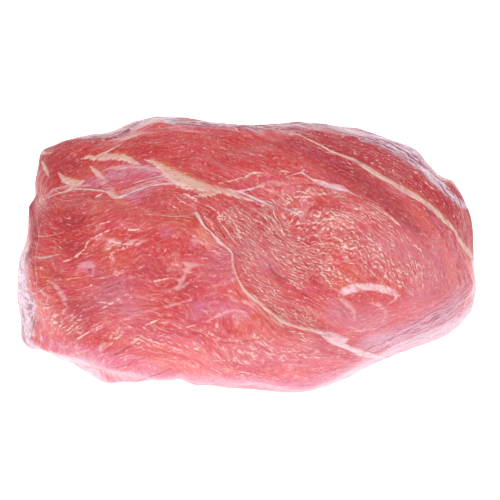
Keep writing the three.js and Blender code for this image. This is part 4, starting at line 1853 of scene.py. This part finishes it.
        height = p.streaks * p.uneven * 0.7 + p.lines * 0.3
        height = height + p.wrinkles * p.busy * 0.5 + p.crests * p.busy * 0.2
        height = height * (1 - fat.most(sinew)) * p.calm + p.beads * 0.3 + p.fine * 0.25
        height = height + p.ridges * (p.tones[Tone.CREASED] * 0.9) + p.ragged * 0.3
        height = height + fat * 0.15 + sinew * 0.15
        height = height + p.threads * (p.film * 0.5 + p.sheath * 0.25) - crease * 0.25
        bump = r.node("ShaderNodeBump", {}, {"Strength": 1.0, "Distance": MM, "Height": height})
        dark = p.tones[Tone.DARK]
        return r.surface({
            "Base Color": paint.colour, "Roughness": 0.2 + 0.14 * p.clouds + 0.1 * fat + 0.6 * dark,
            "Normal": bump.outputs[0], "IOR": 1.42, "Specular IOR Level": 0.35,
            "Coat Weight": 0.25 - 0.22 * dark, "Coat Roughness": 0.12, "Coat IOR": 1.4,
            "Subsurface Weight": 0.2, "Subsurface Scale": 0.0012, "Subsurface Radius": (1.0, 0.45, 0.35),
        })


@dataclass(frozen=True)
class Paper:
    """The finish of the floor: pale and matt, and so bright of itself that its edges don't show."""

    colour: Colour = (250, 250, 252)
    roughness: float = 0.9
    glow: float = 0.75

    def make(self) -> bpy.types.Material:
        """Makes the material.

        Returns:
            The material.
        """
        return Recipe("paper").surface({
            "Base Color": linear(*self.colour), "Roughness": self.roughness,
            "Emission Color": (1.0, 1.0, 1.0, 1.0), "Emission Strength": self.glow,
        })


@dataclass(frozen=True)
class Lamp:
    """A soft lamp. Its place, its width and the spot that it faces are in metres, its power in watts."""

    name: str
    place: tuple[float, float, float]
    width: float
    power: float
    faces: tuple[float, float, float] = (0.0, 0.0, 0.04)

    def hang(self) -> None:
        """Hangs the lamp."""
        light = bpy.data.lights.new(self.name, "AREA")
        light.size = self.width
        light.energy = self.power
        lamp = bpy.data.objects.new(self.name, light)
        lamp.location = self.place
        lamp.rotation_euler = (Vector(self.faces) - Vector(self.place)).to_track_quat("-Z", "Y").to_euler()
        bpy.context.scene.collection.objects.link(lamp)


@dataclass
class Studio:
    """A plain pale floor and soft light."""

    floor_width: float = 40.0
    sky: float = 0.36
    lamps: tuple[Lamp, ...] = (
        Lamp("key", (0.35, 0.5, 1.1), 0.4, 4.6),
        Lamp("right", (0.7, -0.6, 0.9), 0.22, 3.6),
        Lamp("left", (-0.6, -0.6, 1.0), 0.22, 4.2),
    )

    def build(self) -> None:
        """Lays the floor, lights the sky and hangs the lamps."""
        shape = bmesh.new()
        bmesh.ops.create_grid(shape, x_segments=1, y_segments=1, size=self.floor_width / 2)
        mesh = bpy.data.meshes.new("floor")
        shape.to_mesh(mesh)
        shape.free()
        mesh.materials.append(Paper().make())
        floor = bpy.data.objects.new("floor", mesh)
        bpy.context.scene.collection.objects.link(floor)

        world = bpy.data.worlds.new("sky")
        world.use_nodes = True
        backdrop = world.node_tree.nodes["Background"]
        backdrop.inputs["Color"].default_value = (1.0, 1.0, 1.0, 1.0)
        backdrop.inputs["Strength"].default_value = self.sky
        bpy.context.scene.world = world
        bpy.context.scene.view_settings.view_transform = "Standard"
        for lamp in self.lamps:
            lamp.hang()


def main() -> None:
    """Builds the roast in its studio."""
    logging.basicConfig(level=logging.INFO, format="%(name)s: %(message)s")
    EYE.camera()
    Studio().build()
    flesh = Roast().build()
    flesh.data.materials.append(Flesh().make())
    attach(flesh, "root")
    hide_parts("roast")
    log.info("%s has %d faces", flesh.name, len(flesh.data.polygons))


if __name__ == "__main__":
    main()
